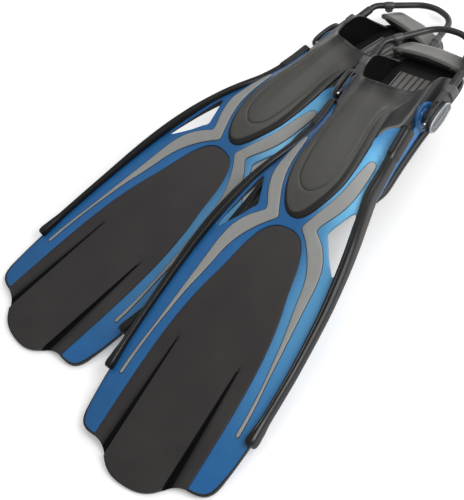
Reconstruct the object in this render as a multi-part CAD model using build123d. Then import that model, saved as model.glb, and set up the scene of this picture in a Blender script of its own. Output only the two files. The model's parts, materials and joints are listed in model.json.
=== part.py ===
from build123d import *
import math
import os

# ---------------------------------------------------------------------------
# A pair of open-heel swim fins, one lying half over the other.
# Millimetres, +Z up.  The origin is on the floor under the middle of the pair.
#
# Each fin is drawn in its own fin frame first: x across (mirror plane x = 0),
# y from the blade tip (-) to the heel (+), z out of the top of the blade, with
# z = 0 on the flat middle of the blade.  The foot pocket's sole runs down and
# back from the blade's plane, so a fin stands on its tip and its heel.
# ---------------------------------------------------------------------------

# ---- driving dimensions ----------------------------------------------------
SIZE = 0.95             # this size against the pattern the tables below are drawn for
BLADE_T = 3.0           # blade frame thickness
PANEL_T = 3.6           # centre panel thickness, flat, proud of the blade's middle by PANEL_UP
PANEL_UP = 0.6
STRIPE_T = 1.4          # grey inlay thickness, proud of the frame by STRIPE_UP
STRIPE_UP = 1.0
TOE_PANEL_T = 2.6       # raised pad on the instep
POCKET_WALL = 4.0       # rubber wall of the foot pocket
SOLE_T = 5.0            # sole plate
FOOTBED_T = 3.0         # ribbed insert
SOLE_SLOPE = 0.231      # fall of the sole line per mm of length (13 degrees)
SOLE_Z0 = -22.0         # sole underside at SOLE_Y0 (pattern)
SOLE_Y0 = 20.0
HEEL_END = 291.0        # rear end of the sole (pattern)
BOSS_Y, BOSS_Z = 205.0, -36.5      # strap axis (pattern)
BOSS_R = 19.0           # boss disc
BOSS_FACE = 60.5        # outer face of the boss disc, from the mirror plane
STUD_R = 4.0            # stud that the buckle turns on
STUD_FIT = 0.06         # radial clearance of the buckle on the stud
STRAP_DIP = 6.0         # degrees that the strap runs below the blade's plane
BUCKLE_IN, BUCKLE_OUT = 58.0, 67.5 # faces of the buckle body, from the mirror plane
BUCKLE_REAR = 37.0      # rear end of the buckle from the strap axis, along the strap
LEVER_IN, LEVER_OUT = 69.0, 75.6   # faces of the oval release cover
LEVER_L, LEVER_W, LEVER_U = 44.6, 19.0, 5.7   # cover's length, width and middle along the strap
PIN_U, PIN_X = -12.5, 66.2         # lever pin, along the strap and from the mirror plane
PAD_T = 5.6             # heel pad thickness
BUNGEE_R = 3.5          # bungee cord radius
SLEEVE_R = 5.3          # rubber sleeve over the bungee's end
LEVER_PIN_R = 1.25
LEVER_FIT = 0.06

# ---- how the two fins lie --------------------------------------------------
FLOOR_PITCH = 6.95      # degrees: a fin standing on its tip and heel
FLOOR_LIFT = 46.49      # height of the lower fin's blade plane over the floor, at its kink
HALF_YAW = 8.48         # degrees: each fin turned this much from the pair's middle line
UPPER_AT = (190.14, -16.38, 26.35) # upper (left) fin's kink in the lower (right) fin's frame
UPPER_YAW = 2 * HALF_YAW
UPPER_PITCH = 4.2       # degrees: extra tip-down of the upper fin
UPPER_ROLL = 3.0        # degrees: upper fin's inner side raised, on the lower fin's buckle
PAIR_SHIFT = (-92.91, 30.32)       # puts the origin under the middle of the pair


def s(v):
    return v * SIZE


# ---- smooth interpolation through a table ----------------------------------
def interp(table, t):
    """Monotone-safe cubic through (t, v) pairs; flat slope limits, clamped ends."""
    ts = [p[0] for p in table]
    vs = [p[1] for p in table]
    n = len(ts)
    if t <= ts[0]:
        return vs[0]
    if t >= ts[-1]:
        return vs[-1]
    d = [(vs[i + 1] - vs[i]) / (ts[i + 1] - ts[i]) for i in range(n - 1)]
    m = [d[0]] + [0.0] * (n - 2) + [d[-1]]
    for i in range(1, n - 1):
        if d[i - 1] * d[i] > 0:
            m[i] = 2 * d[i - 1] * d[i] / (d[i - 1] + d[i])
    for i in range(n - 1):
        if t <= ts[i + 1]:
            h = ts[i + 1] - ts[i]
            u = (t - ts[i]) / h
            return ((2 * u ** 3 - 3 * u ** 2 + 1) * vs[i] + (u ** 3 - 2 * u ** 2 + u) * h * m[i]
                    + (-2 * u ** 3 + 3 * u ** 2) * vs[i + 1] + (u ** 3 - u ** 2) * h * m[i + 1])
    return vs[-1]


# ---- the top surface of the fin: rows by y, columns by |x| (pattern mm) -----
SURF_X = (0, 20, 40, 60, 80, 100, 120, 136)
SURF = {
    -392: (0, 0, 0, 0, -0.5, -2.5, -5.0, -7.0),
    -300: (0, 0, 0, 0, -0.5, -2.5, -5.0, -7.0),
    -200: (0, 0, 0, 0, -0.4, -2.0, -4.0, -6.0),
    -120: (0, 0, 0, 0, 0, -1.0, -2.5, -4.0),
    -60: (0, 0, 0.5, 1.0, 1.0, 0.5, -1.0, -2.0),
    -20: (1.0, 1.5, 2.5, 3.0, 3.0, 2.0, 0.5, -1.0),
    0: (3.0, 3.5, 4.0, 4.0, 3.5, 2.5, 1.0, 0),
    20: (6.5, 6.2, 5.8, 5.0, 4.0, 2.5, 1.0, 0),
    45: (9.5, 8.8, 7.2, 5.0, 3.0, 1.0, -1.0, -2.0),
    75: (11.0, 9.8, 6.8, 2.0, -2.5, -6.0, -8.0, -9.0),
    105: (11.0, 9.4, 4.2, -4.0, -11.0, -15.0, -17.0, -18.0),
    135: (10.0, 7.8, 0.5, -11.0, -17.0, -20.0, -22.0, -23.0),
    165: (8.5, 5.6, -3.5, -14.5, -20.0, -23.0, -25.0, -26.0),
    195: (7.5, 4.0, -7.0, -17.5, -23.0, -26.0, -28.0, -29.0),
    219: (7.0, 3.4, -9.0, -19.5, -25.0, -28.0, -30.0, -31.0),
    250: (6.5, 2.6, -11.0, -22.0, -27.0, -30.0, -32.0, -33.0),
    300: (6.0, 2.0, -13.0, -25.0, -30.0, -33.0, -35.0, -36.0),
}


def surf_z(x, y):
    """Height of the fin's top surface at pattern (x, y)."""
    ax = abs(x)
    rows = [(yy, interp(list(zip(SURF_X, SURF[yy])), ax)) for yy in sorted(SURF)]
    return interp(rows, y)


# ---- plan outlines, right half, pattern mm ---------------------------------
# the blade's free edge: centre of the tip, out round the lobe and up to the rail
TIP = [(0, -378), (15, -377), (29, -373.5), (40, -367.5), (50, -359), (58, -351.8), (67, -347),
       (77, -344.6), (88, -343.8), (97, -342.2), (104.5, -338.6), (110, -332), (113, -323.5),
       (114.6, -312), (116.6, -292), (118.0, -272), (118.4, -258)]
# rail centre line in plan with outer and inner edges, and heights of top and bottom
RAIL_OUT = [(-262, 122), (-241, 121.9), (-183, 121.3), (-150, 120.3), (-91, 117), (-40, 110.5),
            (0, 102), (22, 96), (50, 88), (64, 83.5), (77, 79.5), (90, 76.5), (104, 73.3),
            (131, 68.5), (160, 66), (176, 65.2)]
RAIL_IN = [(-262, 114.2), (-241, 114.4), (-183, 113.6), (-150, 111.8), (-91, 106.8), (-40, 98.8),
           (0, 90.2), (22, 84.6), (50, 77), (64, 73), (77, 69.4), (90, 66.6), (104, 63.6),
           (131, 59.0), (160, 56.6), (176, 56.0)]
RAIL_TOP = [(-262, 1.6), (-241, 1.6), (-183, 2.0), (-150, 2.6), (-91, 5.2), (-40, 7.6), (0, 8.4),
            (22, 8.0), (50, 5.4), (64, 3.0), (77, 0), (90, -4.0), (104, -8.0), (131, -12.5),
            (160, -14.5), (176, -15.0)]
RAIL_BOT = [(-262, -9.5), (-241, -10.5), (-183, -10.0), (-150, -9.0), (-91, -7.0), (-40, -6.5),
            (0, -8.0), (22, -9.5), (50, -12.5), (64, -14.5), (77, -17.0), (90, -20.0),
            (104, -23.0), (131, -26.5), (160, -28.0), (176, -28.5)]
# centre panel edge, from its top arch down to the tip
PANEL = [(0, -7.5), (10, -8.0), (18, -10.4), (25.5, -15), (32.5, -22.5), (38.5, -33), (45, -50),
         (50, -70), (54.6, -89), (59.5, -105), (63.8, -121), (68, -140), (71.5, -160),
         (74.5, -185), (76.6, -212), (78.2, -250), (78.9, -290), (79.2, -330), (79.3, -348)]
# grey stripe: lower branch and upper branch, inner and outer edges
STR_LO_IN = [(20.7, 0.0), (24.5, -5.0), (30, -9.5), (39.5, -19), (48.5, -30), (56, -41), (62.6, -54),
             (67.6, -69), (70.6, -84), (74.6, -102), (79.2, -121), (83.6, -141), (87.0, -163),
             (90.8, -186), (94.2, -212), (96.4, -236), (97.6, -261)]
STR_LO_OUT = [(41, 2.5), (46, -2), (58.8, -12.5), (68, -23.5), (74.5, -34.9), (79, -49), (81.4, -63),
              (83.2, -82), (85.2, -103), (87.4, -124), (89.4, -145), (91.6, -167), (93.6, -188),
              (96.2, -213), (98.2, -237), (99.2, -261)]
STR_UP_IN = [(20.7, 0.0), (24.6, 9.5), (30, 20.5), (36, 33), (41.2, 46), (44.4, 57), (46.4, 69),
             (47.6, 81), (48.6, 94), (49.6, 105)]
STR_UP_OUT = [(41, 2.5), (43, 9.8), (48.3, 18.6), (53, 26.8), (57.6, 36.4), (61, 46.5), (62.8, 57),
              (63.0, 67), (62.4, 79), (61.2, 92), (59.2, 105)]
STR_TOP = (54.4, 113)
# window between the frame's arm and the rail
WINDOW = [(74.6, 41.5), (77.6, 38.5), (81.6, 24), (86.6, 4), (91.4, -16), (95.2, -35), (96.0, -40.2),
          (93.8, -41.0), (84, -31.5), (72, -17), (62, -2.5), (57.0, 4.2), (58.6, 10.5), (66, 27.5),
          (72.4, 39.8)]
# toe panel (raised instep pad)
TOE = [(0, 6.5), (8, 8.0), (15.5, 13), (22.5, 21.5), (28.8, 32.5), (34, 44.5), (38.2, 57.5), (40.6, 68),
       (41.6, 79), (41.8, 92), (41.2, 106), (39.8, 125), (38.0, 146), (36.6, 166), (36.8, 183),
       (39.6, 198), (43.5, 209)]
# foot pocket plan outline (outer face of the side wall)
POCKET = [(0, 4.0), (10, 6.0), (19, 12), (27, 22.5), (33.5, 34.5), (39.5, 48), (44, 62), (47.5, 78),
          (50, 96), (52, 120), (54, 150), (55.6, 180), (56.4, 205), (56.0, 232), (55.0, 258),
          (52.5, 276), (46, 286.5), (34, 290.5), (16, 291), (0, 291)]
# rear edge of the instep, in plan
INSTEP_END = [(0, 211.5), (15, 212.0), (28, 214.5), (38, 219), (46, 227), (52, 240), (56, 262), (57, 300)]
# height of the side wall's top edge behind the instep
WALL_TOP = [(205, -14), (222, -19.5), (238, -25), (252, -29.5), (261, -35), (268, -46), (273, -58), (278, -69),
            (292, -77)]


def sole_z(y):
    """Height of the sole's underside at pattern y."""
    return SOLE_Z0 - SOLE_SLOPE * (y - SOLE_Y0)


# ---- builders --------------------------------------------------------------
def pt(p, z=0.0):
    return (s(p[0]), s(p[1]), z)


def spline_edge(points, tangents=None):
    pts = [Vector(*pt(p)) for p in points]
    if tangents:
        return Edge.make_spline(pts, tangents=[Vector(*t) for t in tangents])
    return Edge.make_spline(pts)


def mirror_pts(points):
    return [(-x, y) for x, y in reversed(points)]


def prism(edges, z0, z1):
    """Solid over a closed plan outline between two heights."""
    wire = Wire(edges)
    face = Face(wire.moved(Location((0, 0, z0))))
    if face.normal_at().Z < 0:
        face = -face
    return Solid.extrude(face, Vector(0, 0, z1 - z0))


def line(a, b):
    return Edge.make_line(Vector(*pt(a)), Vector(*pt(b)))


def surface(dz=0.0):
    """The fin's top surface, moved by dz."""
    ys = []
    rows = sorted(SURF)
    for a, b in zip(rows[:-1], rows[1:]):
        n = max(1, round((b - a) / 30.0))
        ys += [a + (b - a) * k / n for k in range(n)]
    ys.append(rows[-1])
    xs = [-136 + 272 * k / 16 for k in range(17)]
    grid = [[Vector(s(x), s(y), s(surf_z(x, y)) + dz) for y in ys] for x in xs]
    return Face.make_surface_from_array_of_points(grid, tol=0.5)


def slab(top, bottom):
    """The layer of the fin between two offsets of its top surface."""
    return Solid.extrude(surface(top), Vector(0, 0, bottom - top))


def one(shape):
    """The single largest solid of a boolean's result."""
    sol = sorted(shape.solids(), key=lambda q: q.volume)
    return sol[-1]


def solids(shape, least=1.0):
    return [q for q in shape.solids() if q.volume > least]


def box_between(x0, x1, y0, y1, z0, z1):
    return Solid.make_box(x1 - x0, y1 - y0, z1 - z0).moved(Location((x0, y0, z0)))


def poly_face(points):
    return Face(Wire.make_polygon([Vector(*p) for p in points], close=True))


def section_loft(sections, ruled=False):
    return Solid.make_loft([Wire.make_polygon([Vector(*p) for p in sec], close=True) for sec in sections], ruled)


def rail_solid():
    """Upper side rail: a rounded bead with a crease along its top, tip end bulbed."""
    secs = []
    ys = [-262, -250, -225, -183, -140, -91, -55, -25, 0, 22, 45, 64, 80, 97, 115, 135, 155, 176]
    for i, y in enumerate(ys):
        xo, xi = interp(RAIL_OUT, y), interp(RAIL_IN, y)
        zt, zb = interp(RAIL_TOP, y), interp(RAIL_BOT, y)
        w, h = xo - xi, zt - zb
        secs.append([(s(xi + 0.06 * w), s(y), s(zb + 0.10 * h)), (s(xi + 0.20 * w), s(y), s(zb)),
                     (s(xo - 0.20 * w), s(y), s(zb)), (s(xo - 0.04 * w), s(y), s(zb + 0.12 * h)),
                     (s(xo), s(y), s(zt - 0.42 * h)), (s(xo - 0.10 * w), s(y), s(zt - 0.14 * h)),
                     (s(xo - 0.32 * w), s(y), s(zt)), (s(xi + 0.14 * w), s(y), s(zt)),
                     (s(xi), s(y), s(zt - 0.14 * h))])
    return section_loft(secs)


def build_fin():
    """All pieces of one fin in the fin frame: name -> (body, list of solids)."""
    out = {}
    tall = (-160.0, 60.0)

    # plan regions -----------------------------------------------------------
    panel_half = PANEL
    panel_edges = [spline_edge(mirror_pts(panel_half)[:-1] + panel_half),
                   line(panel_half[-1], (79.3, -420)), line((79.3, -420), (-79.3, -420)),
                   line((-79.3, -420), (-79.3, -348))]
    panel_prism = prism(panel_edges, *tall)
    window_edges = lambda sg: [Edge.make_spline([Vector(*pt((sg * x, y))) for x, y in WINDOW], periodic=True)]
    windows = [prism(window_edges(1), *tall), prism(window_edges(-1), *tall)]
    toe_edges = [spline_edge(mirror_pts(TOE)[:-1] + TOE), line(TOE[-1], (60, 330)), line((60, 330), (-60, 330)),
                 line((-60, 330), (-TOE[-1][0], TOE[-1][1]))]
    toe_prism = prism(toe_edges, *tall)
    instep = [spline_edge(mirror_pts(INSTEP_END)[:-1] + INSTEP_END), line(INSTEP_END[-1], (57, 330)),
              line((57, 330), (-57, 330)), line((-57, 330), (-57, 300))]
    heel_prism = prism(instep, *tall)

    # blade outline: tip, lobes, up the rails' inner third, and round the pocket to the instep
    side = [(118.4, -258), (118.6, -240), (117.8, -183), (116, -150), (112, -91), (104.6, -40), (96.2, 0),
            (90.4, 22), (82.5, 50), (78.2, 64), (74.4, 77), (71.4, 90), (68.4, 104), (63.7, 131), (61.2, 160),
            (60.4, 174)]
    blade_edges = [spline_edge(mirror_pts(TIP)[:-1] + TIP), spline_edge(side), line(side[-1], (-60.4, 174)),
                   spline_edge(mirror_pts(side))]
    blade_prism = prism(blade_edges, *tall)

    # 1. blade frame ---------------------------------------------------------
    layer = slab(0.0, -BLADE_T)
    frame = one(layer & blade_prism)
    frame = one(frame - panel_prism)
    for w in windows:
        frame = one(frame - w)
    frame = one(frame - toe_prism)

    # 3. grey stripes, let into the frame -------------------------------------
    def stripe_edges(sg):
        q = lambda L: [(sg * x, y) for x, y in L]
        e = [spline_edge(q(STR_LO_IN[1:])), line(q(STR_LO_IN)[-1], q(STR_LO_OUT)[-1]),
             spline_edge(q(list(reversed(STR_LO_OUT[1:])))), spline_edge(q([STR_LO_OUT[1]] + STR_UP_OUT[:1] + STR_UP_OUT[1:])),
             spline_edge(q([STR_UP_OUT[-1], STR_TOP, STR_UP_IN[-1]])),
             spline_edge(q(list(reversed(STR_UP_IN[1:])))), spline_edge(q([STR_UP_IN[1], STR_UP_IN[0], STR_LO_IN[1]]))]
        return e
    stripe_layer = slab(STRIPE_UP, STRIPE_UP - STRIPE_T)
    for sg, nm in ((1, 'l'), (-1, 'r')):
        pr = prism(stripe_edges(sg), *tall)
        st = one(stripe_layer & pr)
        frame = one(frame - st)
        out['stripe_' + nm] = ('fin', [st])

    # 4. upper side rails, over the frame's edge -------------------------------
    rail = rail_solid()
    for sg, nm in ((1, 'l'), (-1, 'r')):
        r_ = rail if sg > 0 else rail.mirror(Plane.YZ)
        out['rail_' + nm] = ('fin', [r_])
    for nm in 'lr':
        frame = one(frame - out['rail_' + nm][1][0])
    out['blade_frame'] = ('fin', [frame])

    # 2. centre panel: edge ledge, grooves and raised plateau -------------------
    panel = one(prism(panel_edges, PANEL_UP - PANEL_T, PANEL_UP) & blade_prism)
    for sg in (1, -1):
        # groove: sharp wall on the plateau's side, long ramp outwards, deepening to the tip
        g = section_loft([[(sg * s(50.6), s(-186), s(0.8)), (sg * s(50.6), s(-186), s(0.3)), (sg * s(52.5), s(-186), s(0.8))],
                          [(sg * s(50.5), s(-270), s(2.5)), (sg * s(50.5), s(-270), s(-1.2)), (sg * s(62), s(-270), s(2.5))],
                          [(sg * s(50.3), s(-395), s(2.5)), (sg * s(50.3), s(-395), s(-2.0)), (sg * s(70), s(-395), s(2.5))]], True)
        panel = one(panel - g)
    out['centre_panel'] = ('fin', [panel])

    # 6-9. foot pocket, toe panel, footbed, sole -------------------------------
    def ring(points, grow=0.0):
        """Closed plan outline of the pocket, moved out (or in) by grow."""
        n = len(points)
        res = []
        for i, (x, y) in enumerate(points):
            a = points[max(0, i - 1)]
            b = points[min(n - 1, i + 1)]
            if i == 0:
                a = (-points[1][0], points[1][1])
            if i == n - 1:
                b = (-points[n - 2][0], points[n - 2][1])
            tx, ty = b[0] - a[0], b[1] - a[1]
            L = math.hypot(tx, ty)
            res.append((max(0.0, x + grow * ty / L) if i not in (0, n - 1) else 0.0, y - grow * tx / L))
        return res

    def ring_prism(points, z0=tall[0], z1=tall[1]):
        half = points
        full = half + [(-x, y) for x, y in reversed(half[1:-1])]
        return prism([Edge.make_spline([Vector(*pt(p)) for p in full], periodic=True)], z0, z1)

    def sole_cut(lift, thick):
        """Sloping layer: from lift to lift + thick above the sole's underside, whole fin long."""
        a = [(-200, s(-60), s(sole_z(-60)) + lift), (-200, s(360), s(sole_z(360)) + lift),
             (-200, s(360), s(sole_z(360)) + lift + thick), (-200, s(-60), s(sole_z(-60)) + lift + thick)]
        return Solid.extrude(poly_face(a), Vector(400, 0, 0))

    outer = ring_prism(POCKET)
    inner = ring_prism(ring(POCKET, -POCKET_WALL / SIZE))
    sole_ring = ring_prism(ring(POCKET, 1.5))
    # sole plate with tread lugs
    sole = one(sole_cut(0.0, SOLE_T) & sole_ring)
    for k in range(9):
        y = 52 + 26 * k
        z = s(sole_z(y))
        cutter = box_between(-s(70), s(70), s(y) - 2.2, s(y) + 2.2, -3, 1.6).moved(Location((0, 0, 0)))
        cutter = cutter.moved(Location((0, 0, z)))
        sole = one(sole - cutter)
    out['sole_plate'] = ('fin', [sole])
    # footbed: ribbed insert, its front under the instep
    bed_ring = ring_prism(ring([p for p in POCKET], -(POCKET_WALL + 0.6) / SIZE))
    bed = one(sole_cut(SOLE_T, FOOTBED_T) & bed_ring)
    bed = one(bed & box_between(-s(36), s(36), s(50), s(267), -200, 60))
    for k in range(-3, 4):
        gx = s(k * 9.4 + 4.7)
        zc = s(sole_z(150)) + SOLE_T + FOOTBED_T
        if abs(gx) < s(34):
            bar = box_between(gx - 0.9, gx + 0.9, s(30), s(300), -1.2, 3.0)
            ang = -math.degrees(math.atan(SOLE_SLOPE))
            bar = bar.moved(Location((0, 0, 0)))
            bar = bar.moved(Location((0, -s(150), 0))).moved(Location((0, 0, 0), (ang, 0, 0))).moved(Location((0, s(150), zc)))
            bed = one(bed - bar)
    out['footbed'] = ('fin', [bed])

    # pocket shell: side walls and instep
    below_top = slab(-BLADE_T, -150.0)
    above_sole = sole_cut(SOLE_T, 200.0)
    shell = one(outer & above_sole)
    shell = one(shell & below_top)
    cavity = one(one(inner & above_sole) & slab(-BLADE_T - POCKET_WALL, -150.0))
    # the toe end is solid rubber
    cavity = one(cavity & box_between(-s(80), s(80), s(50), s(330), -200, 60))
    shell = one(shell - cavity)
    # open the heel: nothing above the side wall's top edge behind the instep
    wall_pts = [(-200.0, s(y), s(z)) for y, z in WALL_TOP]
    wall_cut_face = Face(Wire([Edge.make_spline([Vector(*p) for p in wall_pts]),
                               Edge.make_line(Vector(*wall_pts[-1]), Vector(-200, s(330), s(-76))),
                               Edge.make_line(Vector(-200, s(330), s(-76)), Vector(-200, s(330), 90)),
                               Edge.make_line(Vector(-200, s(330), 90), Vector(-200, s(205), 90)),
                               Edge.make_line(Vector(-200, s(205), 90), Vector(*wall_pts[0]))]))
    wall_cut = Solid.extrude(wall_cut_face, Vector(400, 0, 0))
    opening_cut = one(wall_cut & heel_prism)
    shell = one(shell - opening_cut)
    shell = one(shell - Solid.make_cylinder(STUD_R, 160, Plane(origin=(-80, s(BOSS_Y), s(BOSS_Z)), z_dir=(1, 0, 0))))
    out['foot_pocket'] = ('fin', [shell])
    # toe panel on the instep, between the frame's arms
    toe = one(slab(TOE_PANEL_T, -BLADE_T) & toe_prism)
    toe = one(toe - heel_prism)
    out['toe_panel'] = ('fin', [toe])

    # 5 + 10. lower side rails and the blue side arms with bosses ---------------
    arm_secs = []
    low_secs = []
    for y in (92, 110, 128, 146, 164, 182, 200):
        top = interp(RAIL_BOT, y) - 0.4
        bot = sole_z(y) + 13.5
        xo = interp(ARM_OUT, y)
        xi = interp(POCKET_SIDE, y) + 1.9
        arm_secs.append([(s(xi), s(y), s(bot)), (s(xo - 0.6), s(y), s(bot)), (s(xo), s(y), s(top)), (s(xi), s(y), s(top))])
    for y in (70, 82, 94, 108, 124, 142, 160, 180, 200, 214):
        f = min(1.0, (y - 62) / 34.0)
        bz = sole_z(y) - 0.5
        tz = bz + 13.2 * f + 1.0 - max(0.0, y - 186) * 0.16
        xo = interp(LOW_OUT, y)
        xi = interp(POCKET_SIDE, y) + 1.9
        low_secs.append([(s(xi), s(y), s(bz)), (s(xo - 2.0), s(y), s(bz)), (s(xo), s(y), s(bz + 0.3 * (tz - bz))),
                         (s(xo - 1.6), s(y), s(tz)), (s(xi), s(y), s(tz))])
    arm = section_loft(arm_secs)
    low = section_loft(low_secs)
    by, bz = s(BOSS_Y), s(BOSS_Z)
    for sg, nm in ((1, 'l'), (-1, 'r')):
        boss = Solid.make_cylinder(BOSS_R, s(BOSS_FACE) - s(57.6), Plane(origin=(sg * s(57.6), by, bz), x_dir=(0, 1, 0), z_dir=(sg, 0, 0)))
        a_ = arm if sg > 0 else arm.mirror(Plane.YZ)
        l_ = low if sg > 0 else low.mirror(Plane.YZ)
        a_ = one(a_ + boss)
        a_ = one(a_ - l_)
        # seat for the stud
        hole = Solid.make_cylinder(STUD_R, 30, Plane(origin=(sg * s(50), by, bz), x_dir=(0, 1, 0), z_dir=(sg, 0, 0)))
        a_ = one(a_ - hole)
        out['side_arm_' + nm] = ('fin', [a_])
        out['lower_rail_' + nm] = ('fin', [l_])
        # 11. stud: shank through boss and buckle, cap sunk in the buckle's face
        x0 = s(53.4)
        axis = lambda x: Plane(origin=(sg * x, by, bz), x_dir=(0, 1, 0), z_dir=(sg, 0, 0))
        stud = Solid.make_cylinder(STUD_R, BUCKLE_OUT - 1.9 - x0, axis(x0))
        cap = Solid.make_cylinder(6.2, 1.6, axis(BUCKLE_OUT - 1.9))
        stud = one(stud + cap)
        out['strap_stud_' + nm] = ('fin', [stud])
    out.update(build_strap())
    return out


def strap_at(solid):
    """Puts a piece drawn along the strap (y along it, z up, from the strap axis) into the fin frame."""
    return solid.moved(Location((0, s(BOSS_Y), s(BOSS_Z)), (-STRAP_DIP, 0, 0)))


def strap_pt(x, u, w=0.0):
    a = math.radians(STRAP_DIP)
    return Vector(x, s(BOSS_Y) + u * math.cos(a) + w * math.sin(a), s(BOSS_Z) - u * math.sin(a) + w * math.cos(a))


def stadium(u0, u1, r, x0, x1):
    """Plate with round ends lying in the y-z plane, from x0 to x1."""
    a = Solid.make_cylinder(r, x1 - x0, Plane(origin=(x0, u0 + r, 0), x_dir=(0, 1, 0), z_dir=(1, 0, 0)))
    b = Solid.make_cylinder(r, x1 - x0, Plane(origin=(x0, u1 - r, 0), x_dir=(0, 1, 0), z_dir=(1, 0, 0)))
    return one(a + b + box_between(x0, x1, u0 + r, u1 - r, -r, r))


def oval(length, width, x0, x1, edge):
    """Oval cover plate in the y-z plane, its outer edge rounded."""
    pts = []
    n = 24
    for k in range(n):
        a = 2 * math.pi * k / n
        c, d = math.cos(a), math.sin(a)
        pts.append(Vector(x0, 0.5 * length * math.copysign(abs(c) ** 0.80, c), 0.5 * width * math.copysign(abs(d) ** 0.80, d)))
    e = Edge.make_spline(pts, periodic=True)
    body = Solid.extrude(Face(Wire([e])), Vector(x1 - x0, 0, 0))
    rim = [q for q in body.edges() if abs(q.center().X - x1) < 0.01]
    return body.fillet(edge, rim)


def build_strap():
    """Strap, buckles and levers of one fin, in the fin frame."""
    out = {}
    # 12. buckle ---------------------------------------------------------------
    xi, xo = BUCKLE_IN, BUCKLE_OUT
    body = stadium(-9.0, BUCKLE_REAR + 4.0, 7.4, xi, xo)
    body = one(body & box_between(xi, xo, -20, BUCKLE_REAR, -20, 20))
    rear = box_between(xi, xo - 1.0, 24, BUCKLE_REAR, -7.4, 7.4)
    body = one(body + rear)
    lugs = []
    for w0, w1 in ((4.1, 6.9), (-6.9, -4.1)):
        lug = Solid.make_cylinder(2.3, w1 - w0, Plane(origin=(PIN_X, PIN_U, w0), z_dir=(0, 0, 1)))
        lugs.append(one(lug + box_between(PIN_X - 2.3, PIN_X + 1.3, PIN_U, -4.0, w0, w1)))
    for lug in lugs:
        body = one(body + lug)
    # eye for the stud, sunk seat for its cap
    eye = lambda r, x0, x1: Solid.make_cylinder(r, x1 - x0, Plane(origin=(x0, 0, 0), x_dir=(0, 1, 0), z_dir=(1, 0, 0)))
    body = one(body - eye(STUD_R + STUD_FIT, xi - 1, xo + 1))
    body = one(body - eye(6.6, xo - 2.3, xo + 1))
    # socket for the clip's tongue, and the catch slot the lever's tooth sits in
    body = one(body - box_between(60.2, 65.6, 26.0, BUCKLE_REAR + 1, -4.3, 4.3))
    body = one(body - box_between(64.0, xo + 1, 20.4, 25.4, -3.2, 3.2))
    # two open slots through the side cheeks
    for w0 in (-8.0, 5.6):
        body = one(body - box_between(60.5, 65.0, 9.5, 21.0, w0, w0 + 2.4))
    # pin holes in the lugs
    hole = Solid.make_cylinder(LEVER_PIN_R, 20, Plane(origin=(PIN_X, PIN_U, -10), z_dir=(0, 0, 1)))
    body = one(body - hole)

    # 13. release lever: oval cover, grooved, with knuckle and tooth -------------
    plate = oval(LEVER_L, LEVER_W, LEVER_IN, LEVER_OUT, 2.2).moved(Location((0, LEVER_U, 0)))
    groove = stadium(LEVER_U - 15.0, LEVER_U + 15.0, 1.7, LEVER_OUT - 1.5, LEVER_OUT + 1)
    hollow = stadium(-7.0, 20.0, 6.2, LEVER_IN - 1, LEVER_IN + 2.2)
    plate = one(plate - groove)
    plate = one(plate - hollow)
    knuckle = Solid.make_cylinder(2.3, 7.4, Plane(origin=(PIN_X, PIN_U, -3.7), z_dir=(0, 0, 1)))
    neck = box_between(PIN_X, LEVER_IN + 0.6, PIN_U - 1.7, PIN_U + 1.7, -3.7, 3.7)
    tooth = box_between(66.6, LEVER_IN + 0.6, 21.2, 24.2, -2.6, 2.6)
    lever = one(plate + knuckle)
    lever = one(lever + neck)
    lever = one(lever + tooth)
    lever = one(lever - Solid.make_cylinder(LEVER_PIN_R + LEVER_FIT, 20, Plane(origin=(PIN_X, PIN_U, -10), z_dir=(0, 0, 1))))

    # 14. lever pin ---------------------------------------------------------------
    pin = Solid.make_cylinder(LEVER_PIN_R, 13.8, Plane(origin=(PIN_X, PIN_U, -6.9), z_dir=(0, 0, 1)))

    # 15. clip: block with tongue, bored for the bungee's end --------------------
    cx = 61.75
    clip = box_between(57.4, 71.0, BUCKLE_REAR + 0.4, 50.0, -6.2, 6.2)
    clip = clip.fillet(1.6, [q for q in clip.edges() if abs(q.center().X - 64.2) > 4 and abs(q.center().Z) > 5])
    clip = one(clip + box_between(60.5, 65.3, 27.0, BUCKLE_REAR + 1.0, -4.0, 4.0))
    clip = one(clip - Solid.make_cylinder(BUNGEE_R, 7.5, Plane(origin=(cx, 43.0, 0), z_dir=(0, 1, 0))))

    # 16. sleeve --------------------------------------------------------------------
    sleeve = Solid.make_cylinder(SLEEVE_R, 23.0, Plane(origin=(cx, 50.0, 0), z_dir=(0, 1, 0)))
    sleeve = sleeve.fillet(1.2, [q for q in sleeve.edges() if q.center().Y > 72.5])
    sleeve = one(sleeve - Solid.make_cylinder(BUNGEE_R, 40.0, Plane(origin=(cx, 42.0, 0), z_dir=(0, 1, 0))))

    body, lever, pin, clip, sleeve = [strap_at(q) for q in (body, lever, pin, clip, sleeve)]
    flip = lambda q: q.mirror(Plane.YZ)
    out['buckle_l'] = ('strap', [body])
    out['buckle_r'] = ('strap', [flip(body)])
    out['release_lever_l'] = ('lever_l', [lever])
    out['release_lever_r'] = ('lever_r', [flip(lever)])
    out['lever_pins'] = ('strap', [pin, flip(pin)])
    out['clip_l'] = ('strap', [clip])
    out['clip_r'] = ('strap', [flip(clip)])
    out['sleeve_l'] = ('strap', [sleeve])
    out['sleeve_r'] = ('strap', [flip(sleeve)])

    # 17. bungee: one cord from clip to clip, round behind the heel --------------------
    p0, p1 = strap_pt(cx, 43.0), strap_pt(cx, 80.0)
    p2 = Vector(s(24), s(347), s(-76.5))
    m = lambda v: Vector(-v.X, v.Y, v.Z)
    pts = [p0, p1, p2, m(p2), m(p1), m(p0)]

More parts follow.
